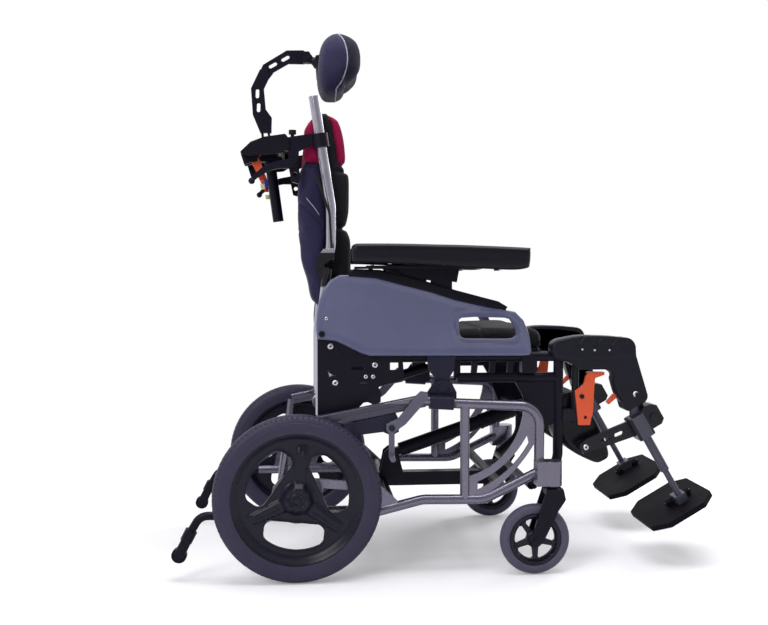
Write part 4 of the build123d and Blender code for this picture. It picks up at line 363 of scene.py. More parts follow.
CRIMSON = woven("crimson_fabric", (0.30, 0.004, 0.055), 0.0016, 0.75, 0.06, thread=(0.15, 0.002, 0.03))
MESH_BLACK = air_mesh("black_mesh", (0.0095, 0.009, 0.013))
HEAD_MESH = air_mesh("head_mesh", (0.017, 0.016, 0.034), 0.0028)
BINDING = woven("binding", (0.006, 0.006, 0.009), 0.0008, 0.7, 0.05)
PIPING = woven("piping", (0.42, 0.42, 0.5), 0.0008, 0.6, 0.1)

# names of CAD nodes by material, and those that come as a right and a left one
SINGLE = (
    (BLACK_PAINT, "cross_frame seat_frame push_bar headrest_post headrest_link"),
    (BLACK_PAINT, "tilt_cylinder tilt_rod recline_cylinder"),
    (DARK_PAINT, "tilt_bearings lock_mounts seat_brackets"),
    (STEEL, "rear_axles recline_rod"),
    (BLACK, "seat_pan push_bar_cover"),
    (LOW_TUBE, "back_lower_frame"),
    (CANE, "back_canes"),
    (CABLE, "brake_cables"),
)
PAIRED = (
    (FRAME_PAINT, "side_frame"),
    (TYRE, "rear_tyre"),
    (RIM_BLACK, "rear_rim caster_hub"),
    (BLACK_PAINT, "caster_fork anti_tip brake_lever"),
    (CASTER_TYRE, "caster_tyre"),
    (BLACK, "anti_tip_roller armrest_post"),
    (GREY_PAINT, "lock_lever"),
    (SLATE, "side_panel"),
    (SOFT_BLACK, "arm_pad calf_pad"),
    (ORANGE, "trigger release_lever"),
    (COVER_BLACK, "legrest_hanger"),
    (LEG_PAINT, "legrest_tube"),
    (PLATE_BLACK, "footplate"),
)
BY_NODE = {name: mat for mat, names in SINGLE for name in names.split()}
for mat, names in PAIRED:
    BY_NODE.update({"%s_%s" % (name, tag): mat for name in names.split() for tag, _ in SIDES})
for name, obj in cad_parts.items():
    mat = BY_NODE.get(name)
    if mat and obj.type == "MESH":
        for slot in obj.material_slots:
            slot.material = mat


# ---- shape helpers (millimetres in, metres out) ----
CURVE_STEPS = 24


def spline_points(points, count):
    """Evenly spaced points on a smooth closed curve through the given ones."""
    n = len(points)
    dense = []
    for i in range(n):
        p = [points[(i + k) % n] for k in (-1, 0, 1, 2)]
        for s in range(CURVE_STEPS):
            t = s / CURVE_STEPS
            w = (
                -0.5 * t**3 + t**2 - 0.5 * t,
                1.5 * t**3 - 2.5 * t**2 + 1.0,
                -1.5 * t**3 + 2.0 * t**2 + 0.5 * t,
                0.5 * t**3 - 0.5 * t**2,
            )
            dense.append(tuple(sum(w[k] * p[k][d] for k in range(4)) for d in (0, 1)))
    dense.append(points[0])
    run = [0.0]
    for a, b in zip(dense, dense[1:]):
        run.append(run[-1] + math.dist(a, b))
    out = []
    j = 0
    for i in range(count):
        want = run[-1] * i / count
        while j < len(run) - 2 and run[j + 1] < want:
            j += 1
        f = (want - run[j]) / (run[j + 1] - run[j] or 1e-9)
        out.append(tuple(dense[j][d] + (dense[j + 1][d] - dense[j][d]) * f for d in (0, 1)))
    return out


def new_object(name, verts, faces, *mats):
    mesh = bpy.data.meshes.new(name)
    mesh.from_pydata([tuple(c * MM for c in v) for v in verts], [], faces)
    for mat in mats:
        mesh.materials.append(mat)
    for poly in mesh.polygons:
        poly.use_smooth = True
    mesh.update()
    obj = bpy.data.objects.new(name, mesh)
    bpy.context.collection.objects.link(obj)
    return obj


@contextmanager
def editing(obj):
    """The object's mesh as a bmesh, written back at the end."""
    bm = bmesh.new()
    bm.from_mesh(obj.data)
    yield bm
    bm.to_mesh(obj.data)
    bm.free()


def fix_normals(obj):
    with editing(obj) as bm:
        bmesh.ops.recalc_face_normals(bm, faces=bm.faces)


def sharp_by_angle(obj, degrees):
    with editing(obj) as bm:
        for e in bm.edges:
            if len(e.link_faces) == 2:
                e.smooth = e.calc_face_angle(0.0) < math.radians(degrees)


def select_only(obj):
    bpy.ops.object.select_all(action="DESELECT")
    obj.select_set(True)
    bpy.context.view_layer.objects.active = obj


def bands_between(rows, n, wrap=False):
    """Four-sided faces between neighbouring rings of n points each."""
    faces = []
    for s in range(rows if wrap else rows - 1):
        t = (s + 1) % rows
        faces += [(s * n + i, s * n + (i + 1) % n, t * n + (i + 1) % n, t * n + i) for i in range(n)]
    return faces


def circle(x, z, radius, count):
    turns = [2 * math.pi * k / count for k in range(count)]
    return [(x + radius * math.cos(a), z + radius * math.sin(a)) for a in turns]


def outward(ring):
    """Unit normals of a closed ring in its own plane, pointing out."""
    n = len(ring)
    area = sum(ring[i][0] * ring[(i + 1) % n][1] - ring[(i + 1) % n][0] * ring[i][1] for i in range(n))
    sign = 1.0 if area > 0 else -1.0
    out = []
    for i in range(n):
        a, b = ring[i - 1], ring[(i + 1) % n]
        dx, dz = b[0] - a[0], b[1] - a[1]
        size = math.hypot(dx, dz) or 1e-9
        out.append((sign * dz / size, -sign * dx / size))
    return out


def puff(name, outline, half, edge, mat, count, across, edge_steps=8):
    """A pad: a side outline carried across to half each way, drawn in at both ends over a rounded edge."""
    ring = spline_points(outline, count)
    normals = outward(ring)
    quarter = [math.pi / 2 * k / edge_steps for k in range(edge_steps)]
    places = [(-half + edge * (1 - math.cos(a)), edge * (1 - math.sin(a))) for a in quarter]
    places += [(-half + edge + (2 * half - 2 * edge) * k / across, 0.0) for k in range(across + 1)]
    places += [(half - edge * (1 - math.cos(a)), edge * (1 - math.sin(a))) for a in reversed(quarter)]
    verts = [(x - nx * inset, y, z - nz * inset) for y, inset in places for (x, z), (nx, nz) in zip(ring, normals)]
    n = len(ring)
    faces = bands_between(len(places), n)
    faces.append(tuple(reversed(range(n))))
    faces.append(tuple((len(places) - 1) * n + i for i in range(n)))
    obj = new_object(name, verts, faces, mat)
    fix_normals(obj)
    return obj


def slab(name, ring, y0, y1, mat, bevel, segments=2):
    """A flat piece cut to a side outline, with rounded edges."""
    n = len(ring)
    verts = [(x, y0, z) for x, z in ring] + [(x, y1, z) for x, z in ring]
    faces = [tuple(range(n)), tuple(reversed(range(n, 2 * n)))]
    faces += bands_between(2, n)
    obj = new_object(name, verts, faces, mat)
    fix_normals(obj)
    mod = obj.modifiers.new("edges", "BEVEL")
    mod.width = bevel * MM
    mod.segments = segments
    mod.limit_method = "ANGLE"
    mod.angle_limit = math.radians(35)
    sharp_by_angle(obj, 40)
    return obj


def rod(name, points, radius, mat, cyclic=False):
    """A round cord or seam along points."""
    curve = bpy.data.curves.new(name, "CURVE")
    curve.dimensions = "3D"
    curve.bevel_depth = radius * MM
    curve.bevel_resolution = 4
    curve.use_fill_caps = True
    line = curve.splines.new("NURBS")
    line.points.add(len(points) - 1)
    for point, p in zip(line.points, points):
        point.co = (p[0] * MM, p[1] * MM, p[2] * MM, 1.0)
    line.order_u = 3
    line.use_endpoint_u = not cyclic
    line.use_cyclic_u = cyclic
    curve.resolution_u = 6
    curve.materials.append(mat)
    obj = bpy.data.objects.new(name, curve)
    bpy.context.collection.objects.link(obj)
    return obj


def turned_piece(name, place, direction, profile, mat, segments=28):
    """A turned piece: profile of (distance along, radius) from a point, along a direction."""
    d = Vector(direction).normalized()
    side = d.cross(Vector((0, 0, 1)) if abs(d.z) < 0.9 else Vector((1, 0, 0))).normalized()
    up = d.cross(side)
    verts = []
    for along, radius in profile:
        for k in range(segments):
            a = 2 * math.pi * k / segments
            p = Vector(place) + d * along + (side * math.cos(a) + up * math.sin(a)) * radius
            verts.append(tuple(p))
    faces = bands_between(len(profile), segments)
    faces.append(tuple(range(segments)))
    last = (len(profile) - 1) * segments
    faces.append(tuple(last + k for k in reversed(range(segments))))
    obj = new_object(name, verts, faces, mat)
    fix_normals(obj)
    sharp_by_angle(obj, 38)
    return obj


SCREW_HEAD = 2.6


def socket_screw(name, x, y, z, side, radius, body):
    """A button-head screw facing out, with a thin dark hexagon on its head: painted shade standing for the hex socket's
    hole.
    """
    h = SCREW_HEAD
    socket = radius * 0.42
    profile = [(0, radius), (h * 0.35, radius), (h * 0.75, radius * 0.86), (h, radius * 0.62), (h, socket)]
    head = turned_piece(name, (x, y, z), (0, side, 0), profile, STEEL, 24)
    # the socket is no hole: a thin dark hexagon laid on the head is painted shade for it
    inner = [(h * 0.98, socket), (h * 1.02, radius * 0.40)]
    socket_shade = turned_piece(name + "_socket", (x, y, z), (0, side, 0), inner, DARK_PAINT, 6)
    socket_shade.parent = head
    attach(head, body)


def wrinkle(x, y, z, size, depth):
    """Slow uneven waves of a size and depth, the same at each run."""
    return depth * noise.noise(Vector((x, y, z)) / size)


def bell(value, centre, width):
    """1 at the centre, falling away on both sides."""
    return math.exp(-(((value - centre) / width) ** 2))


def profile_fall(d, rho):
    """How far a rounded edge of radius rho lies below the flat, d in from the edge."""
    if d >= rho:
        return 0.0
    return rho * (1.0 - math.sqrt(max(0.0, 1.0 - (1.0 - d / rho) ** 2)))


def smooth_step(t):
    t = max(0.0, min(1.0, t))
    return t * t * (3 - 2 * t)


def is_inside(loop, x, z):
    found = False
    j = len(loop) - 1
    for i in range(len(loop)):
        xi, zi = loop[i]
        xj, zj = loop[j]
        if (zi > z) != (zj > z) and x < (xj - xi) * (z - zi) / (zj - zi) + xi:
            found = not found
        j = i
    return found


def even(loop, step):
    """A closed line with points no further apart than step, its corners kept."""
    out = []
    for i, a in enumerate(loop):
        b = loop[(i + 1) % len(loop)]
        count = max(1, math.ceil(math.dist(a, b) / step))
        for k in range(count):
            out.append((a[0] + (b[0] - a[0]) * k / count, a[1] + (b[1] - a[1]) * k / count))
    return out


def edge_tree(loops):
    points = [p for loop in loops for p in even(loop, 0.5)]
    tree = KDTree(len(points))
    for i, (x, z) in enumerate(points):
        tree.insert((x, z, 0), i)
    tree.balance()
    return lambda x, z: tree.find((x, z, 0))[2]


def sculpt(name, outline, holes, side, top, bottom, mat, step=4.0, rings=(0.5, 1.5, 3.0), angle=38):
    """A part drawn in side view, with a sculpted outer and inner face.

    top and bottom give the distance from the middle plane at (x, z), d in from the nearest edge."""
    loops = [even(outline, step)] + [even(h, step) for h in holes]
    far = edge_tree(loops)

    def within(x, z):
        return is_inside(loops[0], x, z) and not any(is_inside(h, x, z) for h in loops[1:])

    points, edges = [], []
    for k, loop in enumerate(loops):
        first = len(points)
        points += loop
        edges += [(first + i, first + (i + 1) % len(loop)) for i in range(len(loop))]
        normals = outward(loop)
        sign = -1.0 if k == 0 else 1.0
        for inset in rings:
            for (x, z), (nx, nz) in zip(loop, normals):
                p = (x + sign * nx * inset, z + sign * nz * inset)
                if far(*p) > inset * 0.93:
                    points.append(p)
    xs, zs = zip(*loops[0])
    row_height = step * 0.87
    for r in range(int((max(zs) - min(zs)) / row_height) + 1):
        z = min(zs) + row_height * (r + 0.5)
        x = min(xs) + step * (0.5 if r % 2 else 0.0)
        while x < max(xs):
            if within(x, z) and far(x, z) > rings[-1] + step * 0.4:
                points.append((x, z))
            x += step
    flat, _, faces = delaunay_2d_cdt([Vector(p) for p in points], edges, [], 0, 1e-5)[:3]
    faces = [tuple(f) for f in faces if within(sum(flat[i].x for i in f) / 3, sum(flat[i].y for i in f) / 3)]
    count = len(flat)
    verts = [(v.x, side * face(v.x, v.y, far(v.x, v.y)), v.y) for face in (top, bottom) for v in flat]
    uses = {}
    for f in faces:
        for a, b in ((f[0], f[1]), (f[1], f[2]), (f[2], f[0])):
            uses.setdefault((min(a, b), max(a, b)), []).append((a, b))
    border = [found[0] for found in uses.values() if len(found) == 1]
    faces += [tuple(i + count for i in reversed(f)) for f in faces]
    faces += [(b, a, a + count, b + count) for a, b in border]
    obj = new_object(name, verts, faces, mat)
    with editing(obj) as bm:
        bmesh.ops.delete(bm, geom=[v for v in bm.verts if not v.link_faces], context="VERTS")
        bmesh.ops.recalc_face_normals(bm, faces=bm.faces)
    sharp_by_angle(obj, angle)
    return obj


def lathe(name, centre, profile, mat, segments, shape=None):
    """A ring turned about a cross axis; profile is (y, radius); shape(k, angle, r) moves the radius."""
    verts = []
    n = len(profile)
    for s in range(segments):
        a = 2 * math.pi * s / segments
        for k, (y, r) in enumerate(profile):
            if shape:
                r = shape(k, a, r)
            verts.append((centre[0] + r * math.cos(a), y, centre[1] + r * math.sin(a)))
    obj = new_object(name, verts, bands_between(segments, n, wrap=True), mat)
    fix_normals(obj)
    sharp_by_angle(obj, 34)
    return obj


LAST_FRAME = 20


def inflate(obj, cap, pressure, voxel=0.005):
    """Lets a pad swell under its cover, no point moving further than cap millimetres."""
    scene = bpy.context.scene
    select_only(obj)
    obj.data.remesh_voxel_size = voxel
    bpy.ops.object.voxel_remesh()
    before = [v.co.copy() for v in obj.data.vertices]
    cloth = obj.modifiers.new("cloth", "CLOTH")
    cloth.settings.quality = 5
    cloth.settings.use_pressure = True
    cloth.settings.uniform_pressure_force = pressure
    cloth.settings.effector_weights.gravity = 0.0
    cloth.point_cache.frame_start = 1
    cloth.point_cache.frame_end = LAST_FRAME
    for f in range(1, LAST_FRAME + 1):
        scene.frame_set(f)
    held = obj.evaluated_get(bpy.context.evaluated_depsgraph_get())
    after = [v.co.copy() for v in held.data.vertices]
    obj.modifiers.remove(cloth)
    scene.frame_set(1)
    limit = cap * MM
    for vert, a, b in zip(obj.data.vertices, before, after):
        move = b - a
        if move.length > limit:
            move *= limit / move.length
        vert.co = a + move
    obj.data.update()
    for poly in obj.data.polygons:
        poly.use_smooth = True


def press(obj, amount):
    """Moves each point along its normal by amount(x, y, z, normal) millimetres, after one subdivision."""
    mod = obj.modifiers.new("round", "SUBSURF")
    mod.levels = 1
    select_only(obj)
    bpy.ops.object.modifier_apply(modifier="round")
    normals = [v.normal.copy() for v in obj.data.vertices]
    for vert, normal in zip(obj.data.vertices, normals):
        p = vert.co * 1000
        vert.co += normal * (amount(p.x, p.y, p.z, normal) * MM)
    obj.data.update()


def paint(obj, pick):
    """Chooses each face's material by where it is."""
    for poly in obj.data.polygons:
        c = poly.center * 1000
        poly.material_index = pick(c.x, c.y, c.z)


def line_at(points, z):
    """x of a polyline of (x, z) at a height."""
    for (x0, z0), (x1, z1) in zip(points, points[1:]):
        if min(z0, z1) <= z <= max(z0, z1) and z0 != z1:
            return x0 + (x1 - x0) * (z - z0) / (z1 - z0)
    return points[0][0] if abs(z - points[0][1]) < abs(z - points[-1][1]) else points[-1][0]


SEAM_LIFT, SEAM_STEPS = 0.3, 12
RAY_SIDE, RAY_OVER = 400, 120


def seam_loop(obj, curve):
    """Where a curve of the side view, carried across, meets a pad: a closed loop on it."""
    bm = bmesh.new()
    bm.from_mesh(obj.data)
    tree = BVHTree.FromBMesh(bm)
    bm.free()

    def touch(found, place, direction):
        spot, normal = tree.ray_cast(Vector(place) * MM, Vector(direction))[:2]
        if spot:
            found.append(tuple((spot + normal * (SEAM_LIFT * MM)) * 1000))

    heights = [p[1] for p in curve]
    right, left, top, bottom = [], [], [], []
    for x, z in curve:
        touch(right, (x, -RAY_SIDE, z), (0, 1, 0))
        touch(left, (x, RAY_SIDE, z), (0, -1, 0))
    if right and left:
        for k in range(1, SEAM_STEPS):
            t = k / SEAM_STEPS
            y = right[-1][1] + (left[-1][1] - right[-1][1]) * t
            touch(top, (curve[-1][0], y, max(heights) + RAY_OVER), (0, 0, -1))
            y = left[0][1] + (right[0][1] - left[0][1]) * t
            touch(bottom, (curve[0][0], y, min(heights) - RAY_OVER), (0, 0, 1))
    return right + top + list(reversed(left)) + bottom


# ---- headrest ----
HEAD_OUTLINE = [
    (-237, 1197), (-212, 1193), (-192, 1180), (-183, 1163), (-179, 1143), (-180, 1120), (-186, 1103), (-198, 1090),
    (-213, 1078), (-221, 1066), (-231, 1059), (-245, 1056), (-262, 1057), (-271, 1066), (-277, 1083), (-279, 1110),
    (-276, 1150), (-269, 1174), (-256, 1189),
]
HEAD_PIPE = [
    (-238, 1067), (-231, 1074), (-223, 1087), (-216, 1106), (-213, 1128), (-215, 1148), (-220, 1168), (-226, 1180),
    (-233, 1189),
]
HEAD_HALF = 106.5


def make_headrest():
    ring = spline_points(HEAD_OUTLINE, 120)
    mid = (-232.0, 1118.0)
    rows = 44
    verts = []
    for s in range(rows + 1):
        a = -math.pi / 2 + math.pi * s / rows
        u = math.copysign(abs(math.sin(a)) ** 0.72, math.sin(a))
        k = max(0.02, (max(0.0, 1 - abs(u) ** 3.6)) ** (1 / 2.4))
        for x, z in ring:
            px, pz = mid[0] + (x - mid[0]) * k, mid[1] + (z - mid[1]) * (1 - (1 - k) * 0.9)
            front = smooth_step((px + 235) / 40.0)
            px -= 12.0 * bell(u, 0, 0.5) * front
            px += 5.0 * bell(abs(u), 0.72, 0.2) * front * k
            verts.append((px, HEAD_HALF * u, pz))
    n = len(ring)
    faces = bands_between(rows + 1, n)
    faces.append(tuple(range(n)))
    faces.append(tuple(rows * n + i for i in range(n)))
    pad = new_object("headrest_cushion", verts, faces, NAVY, HEAD_MESH)
    fix_normals(pad)
    inflate(pad, 4.0, 3.0, 0.004)

    def folds(x, y, z, normal):
        lobe = -2.6 * bell(z, 1077, 4.5) * smooth_step((x + 240) / 16.0)
        return lobe + wrinkle(x, y, z, 40, 0.9)

    press(pad, folds)
    paint(pad, lambda x, y, z: 1 if z > 1068 and x > line_at(HEAD_PIPE, z) else 0)
    loop = seam_loop(pad, HEAD_PIPE)
    pipe = rod("headrest_piping", loop, 1.6, PIPING, cyclic=True)
    for piece in (pad, pipe):
        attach(piece, "headrest_pad")
    plate = slab("headrest_plate", [(-284, 1152), (-268, 1156), (-266, 1104), (-281, 1104)], -24, 24, BLACK_PAINT, 1.5)
    neck = [(0, 6), (3, 8.5), (9, 9), (13, 12), (17, 15), (22, 15)]
    ball = turned_piece("headrest_socket", (-297, 0, 1147), (0.94, 0, -0.34), neck, BLACK_PAINT)
    barrel = [(0, 8.4), (0.6, 9), (15.2, 9), (15.8, 8.4)]
    clamp = turned_piece("headrest_clamp", (-299, -7.9, 1150), (0, 1, 0), barrel, BLACK_PAINT)
    for piece in (plate, ball, clamp):
        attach(piece, "headrest_pad")
    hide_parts("headrest_pad")


# ---- back upholstery ----
BACK_W = 172.0


def make_back():
    shell = puff(
        "back_rear_cover",
        [(-296, 893), (-309, 896), (-318, 863), (-320, 809), (-318, 742), (-312, 687), (-298, 626), (-289, 589),
         (-279, 574), (-267, 576), (-263, 610), (-263, 700), (-263, 794), (-276, 886)],
        BACK_W, 20, NAVY, count=110, across=40,
    )
    inflate(shell, 5.0, 3.0)

    def rear(x, y, z, normal):
        back = smooth_step((-276 - x) / 26.0)
        flap = -3.4 * bell(z, 783 + (x + 300) * -0.9, 3.6) * smooth_step((-268 - x) / 8.0)
        sag = -1.8 * bell(z, 743, 3.0) * back
        wave = math.sin(z / 13.0 + wrinkle(x, y, z, 70, 2.0))
        crease = 1.2 * wave * back * smooth_step((780 - z) / 60.0)
        return flap + sag + crease + wrinkle(x, y, z, 60, 2.0) * back

    press(shell, rear)
    top = puff(
        "back_rear_bulge",
        [(-284, 990), (-292, 984), (-306, 960), (-307, 943), (-311, 912), (-312, 897), (-305, 890), (-290, 889),
         (-274, 892), (-279, 950)],
        BACK_W, 16, CRIMSON, count=80, across=36,
    )
    inflate(top, 4.0, 3.0)
    press(top, lambda x, y, z, nm: wrinkle(x, y, z, 42, 1.6) * smooth_step((-284 - x) / 14.0))
    body = puff(
        "back_front_pads",
        [(-284, 992), (-271, 999), (-260, 997), (-250, 968), (-244, 930), (-238, 892), (-228, 880), (-219, 868),
         (-216, 840), (-217, 785), (-222, 751), (-214, 724), (-212, 688), (-212, 640), (-214, 596), (-224, 576),
         (-245, 568), (-261, 572), (-262, 640), (-262, 720), (-262, 794), (-270, 850), (-279, 930)],
        BACK_W, 15, MESH_BLACK, count=150, across=54,
    )
    inflate(body, 3.0, 3.0)

    def front(x, y, z, normal):
        ahead = smooth_step((x + 252) / 20.0)
        groove = -9.0 * bell(z, 749, 5.0) - 6.0 * bell(z, 872, 5.0)
        sides = sum(-5.0 * bell(y, spot, 6.0) for spot in (-95, 95))
        return (groove + sides + wrinkle(x, y, z, 50, 1.4)) * ahead

    press(body, front)
    panel = puff(
        "back_front_panel",
        [(-262, 994), (-254, 992), (-240, 978), (-230, 949), (-225, 913), (-224, 893), (-229, 884), (-238, 888),
         (-246, 920), (-254, 960)],
        BACK_W - 3, 12, CRIMSON, count=84, across=40, edge_steps=7,
    )
    inflate(panel, 4.0, 3.0)
    press(panel, lambda x, y, z, nm: wrinkle(x, y, z, 40, 1.3) * smooth_step((x + 252) / 14.0))
    for piece, slot in ((shell, "navy_fabric"), (top, "navy_fabric"), (body, "black_fabric"), (panel, "black_fabric")):
        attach(piece, "back")
    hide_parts("back_shell")
    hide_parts("back_cushion")
    for side in (-1, 1):
        y = side * (BACK_W + 0.6)
        down = [(-262, y, 600), (-262, y, 700), (-262, y, 794), (-274, y, 880), (-282, y, 965)]
        round_flap = [(-314, side * 160, 824), (-306, side * 169, 812), (-296, y, 800), (-286, y, 788), (-279, y, 776)]
        edge = rod("back_side_seam_%d" % (side > 0), down, 1.3, BINDING)
        hem = rod("back_flap_edge_%d" % (side > 0), round_flap, 0.9, PIPING)
        for piece in (edge, hem):
            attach(piece, "back")


# ---- seat cushion ----
def make_seat():
    pad = puff(
        "seat_cushion_cover",
        [(-205, 485), (0, 485), (204, 485), (216, 492), (219, 503), (214, 515), (196, 522), (120, 523), (20, 520),
         (-90, 519), (-180, 520), (-204, 515), (-209, 503), (-208, 492)],
        180.0, 16, MESH_BLACK, count=150, across=46,
    )
    inflate(pad, 6.0, 4.0)

    def shape(x, y, z, normal):
        up = smooth_step(normal.z * 2.0)
        channels = sum(-3.2 * bell(x, spot, 4.0) for spot in (-120, -20, 80))
        hollow = -5.0 * bell(x, -70, 110.0) * bell(y, 0, 120.0)
        return (channels + hollow + wrinkle(x, y, z, 60, 1.4)) * up

    press(pad, shape)
    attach(pad, "seat")
    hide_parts("seat_cushion")


# ---- arm pads, leg covers and calf pads ----
LEG_X, LEG_Z, LEG_SLOPE = 446, 290, math.radians(60)


def leg(along, across):
    """A point of the side view given along the leg tube and across it."""
    c, s = math.cos(LEG_SLOPE), math.sin(LEG_SLOPE)
    return (LEG_X + along * c + across * s, LEG_Z - along * s + across * c)


def pillow(name, outline, side, y_mid, half, rho, mat, step, carve, count):
    """A moulded pad with a rounded border, its outer face carved by carve(x, z, d)."""
    ring = spline_points(outline, count)
    rings = tuple(rho * (1 - math.cos(math.pi / 2 * k / 7)) for k in range(1, 8))

    def top(x, z, d):
        return y_mid + half - profile_fall(d, rho) + carve(x, z, d)

    def bottom(x, z, d):
        return y_mid - half + profile_fall(d, rho)

    return sculpt(name, ring, [], side, top, bottom, mat, step, rings, 50)


ARM_Y = 247
ARM_PAD = [
    (-212, 704), (-206, 711), (-186, 712), (-112, 712), (-40, 710.5), (35, 709), (157, 704), (165, 701), (166, 686),
    (164, 667), (160, 661), (132, 657), (78, 659), (36, 661), (-40, 666), (-112, 670), (-165, 672), (-204, 672),
    (-212, 677), (-213.5, 690),
]
CALF_PAD = [
    leg(*p) for p in ((-150, -137), (-72, -166), (0, -130), (14, -106), (2, -84), (-78, -74), (-154, -84), (-168, -112))
]


def make_arm_pad(tag, side):
    pad = pillow(
        "arm_pad_cover_" + tag, ARM_PAD, side, ARM_Y, 28, 10, SOFT_BLACK, 6.0,
        lambda x, z, d: wrinkle(x, 0, z, 60, 0.5), 170,
    )
    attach(pad, "armrest_" + tag)
    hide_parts("arm_pad_" + tag)
    head = [(0, 5), (1.5, 5), (3, 4), (3.2, 2)]
    for i, (x, z) in enumerate(((-132, 670.5), (104, 658.5))):
        screw = turned_piece("arm_screw_%s_%d" % (tag, i), (x, side * ARM_Y, z), (0, 0, -1), head, STEEL, 20)
        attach(screw, "armrest_" + tag)


def make_calf_pad(tag, side):
    pad = pillow(
        "calf_cover_" + tag, CALF_PAD, side, 114, 55, 13, SOFT_BLACK, 5.0,
        lambda x, z, d: wrinkle(x, 9, z, 35, 1.0), 110,
    )
    x, z = leg(-45, -131)
    collar = [(0, 13), (9, 13), (12, 10), (29, 10)]
    boss = turned_piece("calf_boss_" + tag, (x, side * 160, z), (0, side, 0), collar, BLACK)
    socket_screw("calf_screw_" + tag, x, side * 198.4, z, side, 6.5, "calf_pad_" + tag)
    for piece in (pad, boss):
        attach(piece, "calf_pad_" + tag)
    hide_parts("calf_pad_" + tag)


# ---- side panels ----
PANEL_FACE = 222.0
PANEL_TOP = [(-219, 646), (-159, 642), (-103, 627), (-43, 612), (14, 594), (71, 581), (123, 570)]
PANEL = [
    (-285, 510), (-287, 526), (-287, 542), (-285, 566), (-281, 589), (-272, 614), (-257, 635), (-236, 646),
    *PANEL_TOP, (145, 566), (163, 548), (174, 522), (179, 496), (181, 479), (177, 471), (155, 470), (0, 471),
    (-172, 472), (-193, 479), (-219, 492), (-245, 505), (-279, 508),
]
PANEL_SLOT = [
    (27, 553), (55, 555), (121, 553), (133, 550), (137, 544), (146, 527), (147, 515), (141, 509), (128, 507),
    (36, 508), (27, 511), (23, 519), (21, 538), (22, 549),
]
PANEL_RECESS = [
    (12, 560), (18, 566), (60, 570), (110, 570), (128, 566), (154, 544), (160, 524), (155, 505), (144, 496),
    (45, 499), (24, 504), (12, 527), (9, 545),
]
PANEL_TRIM = [
    (-214, 654), (-206, 659), (-150, 657), (-103, 647), (-46, 631), (15, 613), (72, 598), (107, 589), (127, 577),
    (123, 569), *((x, z - 3.0) for x, z in reversed(PANEL_TOP)),
]


def make_side_panel(tag, side):
    recess = edge_tree([PANEL_RECESS])
    edge_slot = edge_tree([PANEL_SLOT])
    border = edge_tree([PANEL])

    def top(x, z, d):
        y = PANEL_FACE - profile_fall(d, 5.0) - 3.2 * smooth_step((min(d, border(x, z)) - 7.0) / 5.0)
        if is_inside(PANEL_RECESS, x, z):
            y -= 5.0 * smooth_step(recess(x, z) / 4.5)
            y += 3.0 * (1 - smooth_step((edge_slot(x, z) - 1.0) / 3.5))
        else:
            y += 2.2 * (1 - smooth_step(recess(x, z) / 7.0))
        return y

    def bottom(x, z, d):
        return 207.5 if d < 5.0 else 214.0

    def rib(x):
        return 1.2 * (math.fmod(abs(x) * 0.17, 1.0) < 0.35) * (x > 60)

    rings = (0.5, 1.5, 3.4, 6.0, 9.0)
    panel = sculpt("side_panel_skin_" + tag, PANEL, [PANEL_SLOT], side, top, bottom, SLATE, 5.0, rings, 50)
    trim = sculpt(
        "side_panel_trim_" + tag, PANEL_TRIM, [], side,
        lambda x, z, d: PANEL_FACE + 1.0 - profile_fall(d, 3.0) - rib(x), lambda x, z, d: 209.0, BLACK,
    )
    for piece in (panel, trim):
        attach(piece, "side_panel_" + tag)
    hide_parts("side_panel_" + tag)
    socket_screw("panel_screw_%s_0" % tag, -265, side * 219.5, 553, side, 4.2, "side_panel_" + tag)


# ---- wheels ----
RIM_R = 143.2
CASTER_X, CASTER_Z, CASTER_Y, CASTER_RIM_R = 183.0, 76.2, 248.0, 56.3
SPOKES = (84, 204, 324)
WINDOW_TURNS = (264, 24, 144)
TYRE_HALF = [
    (0, 177.9), (4.5, 177.4), (9, 176), (12.6, 173.8), (15.6, 170), (17.2, 165.5), (17.9, 161.6), (18.6, 161),
    (19.2, 156), (19.2, 148), (18.9, 142), (17.9, 139.4), (16.4, 139.6), (14, RIM_R),
]
TYRE_ROWS = [(-y, r) for y, r in TYRE_HALF[:0:-1]] + TYRE_HALF
LUG_ROWS = range(8, 19)
CENTRE_ROWS = range(12, 15)
LUG_DEPTH = 1.1


def rounded_window(core, radius, centre, turn, count):
    """A convex outline swollen by a radius, turned round a wheel's centre."""
    out = []
    c, s = math.cos(turn), math.sin(turn)
    for k in range(count):
        a = 2 * math.pi * k / count
        p, q = max(core, key=lambda v: v[0] * math.cos(a) + v[1] * math.sin(a))
        p += radius * math.cos(a)
        q += radius * math.sin(a)
        out.append((centre[0] + p * c - q * s, centre[1] + p * s + q * c))
    return out


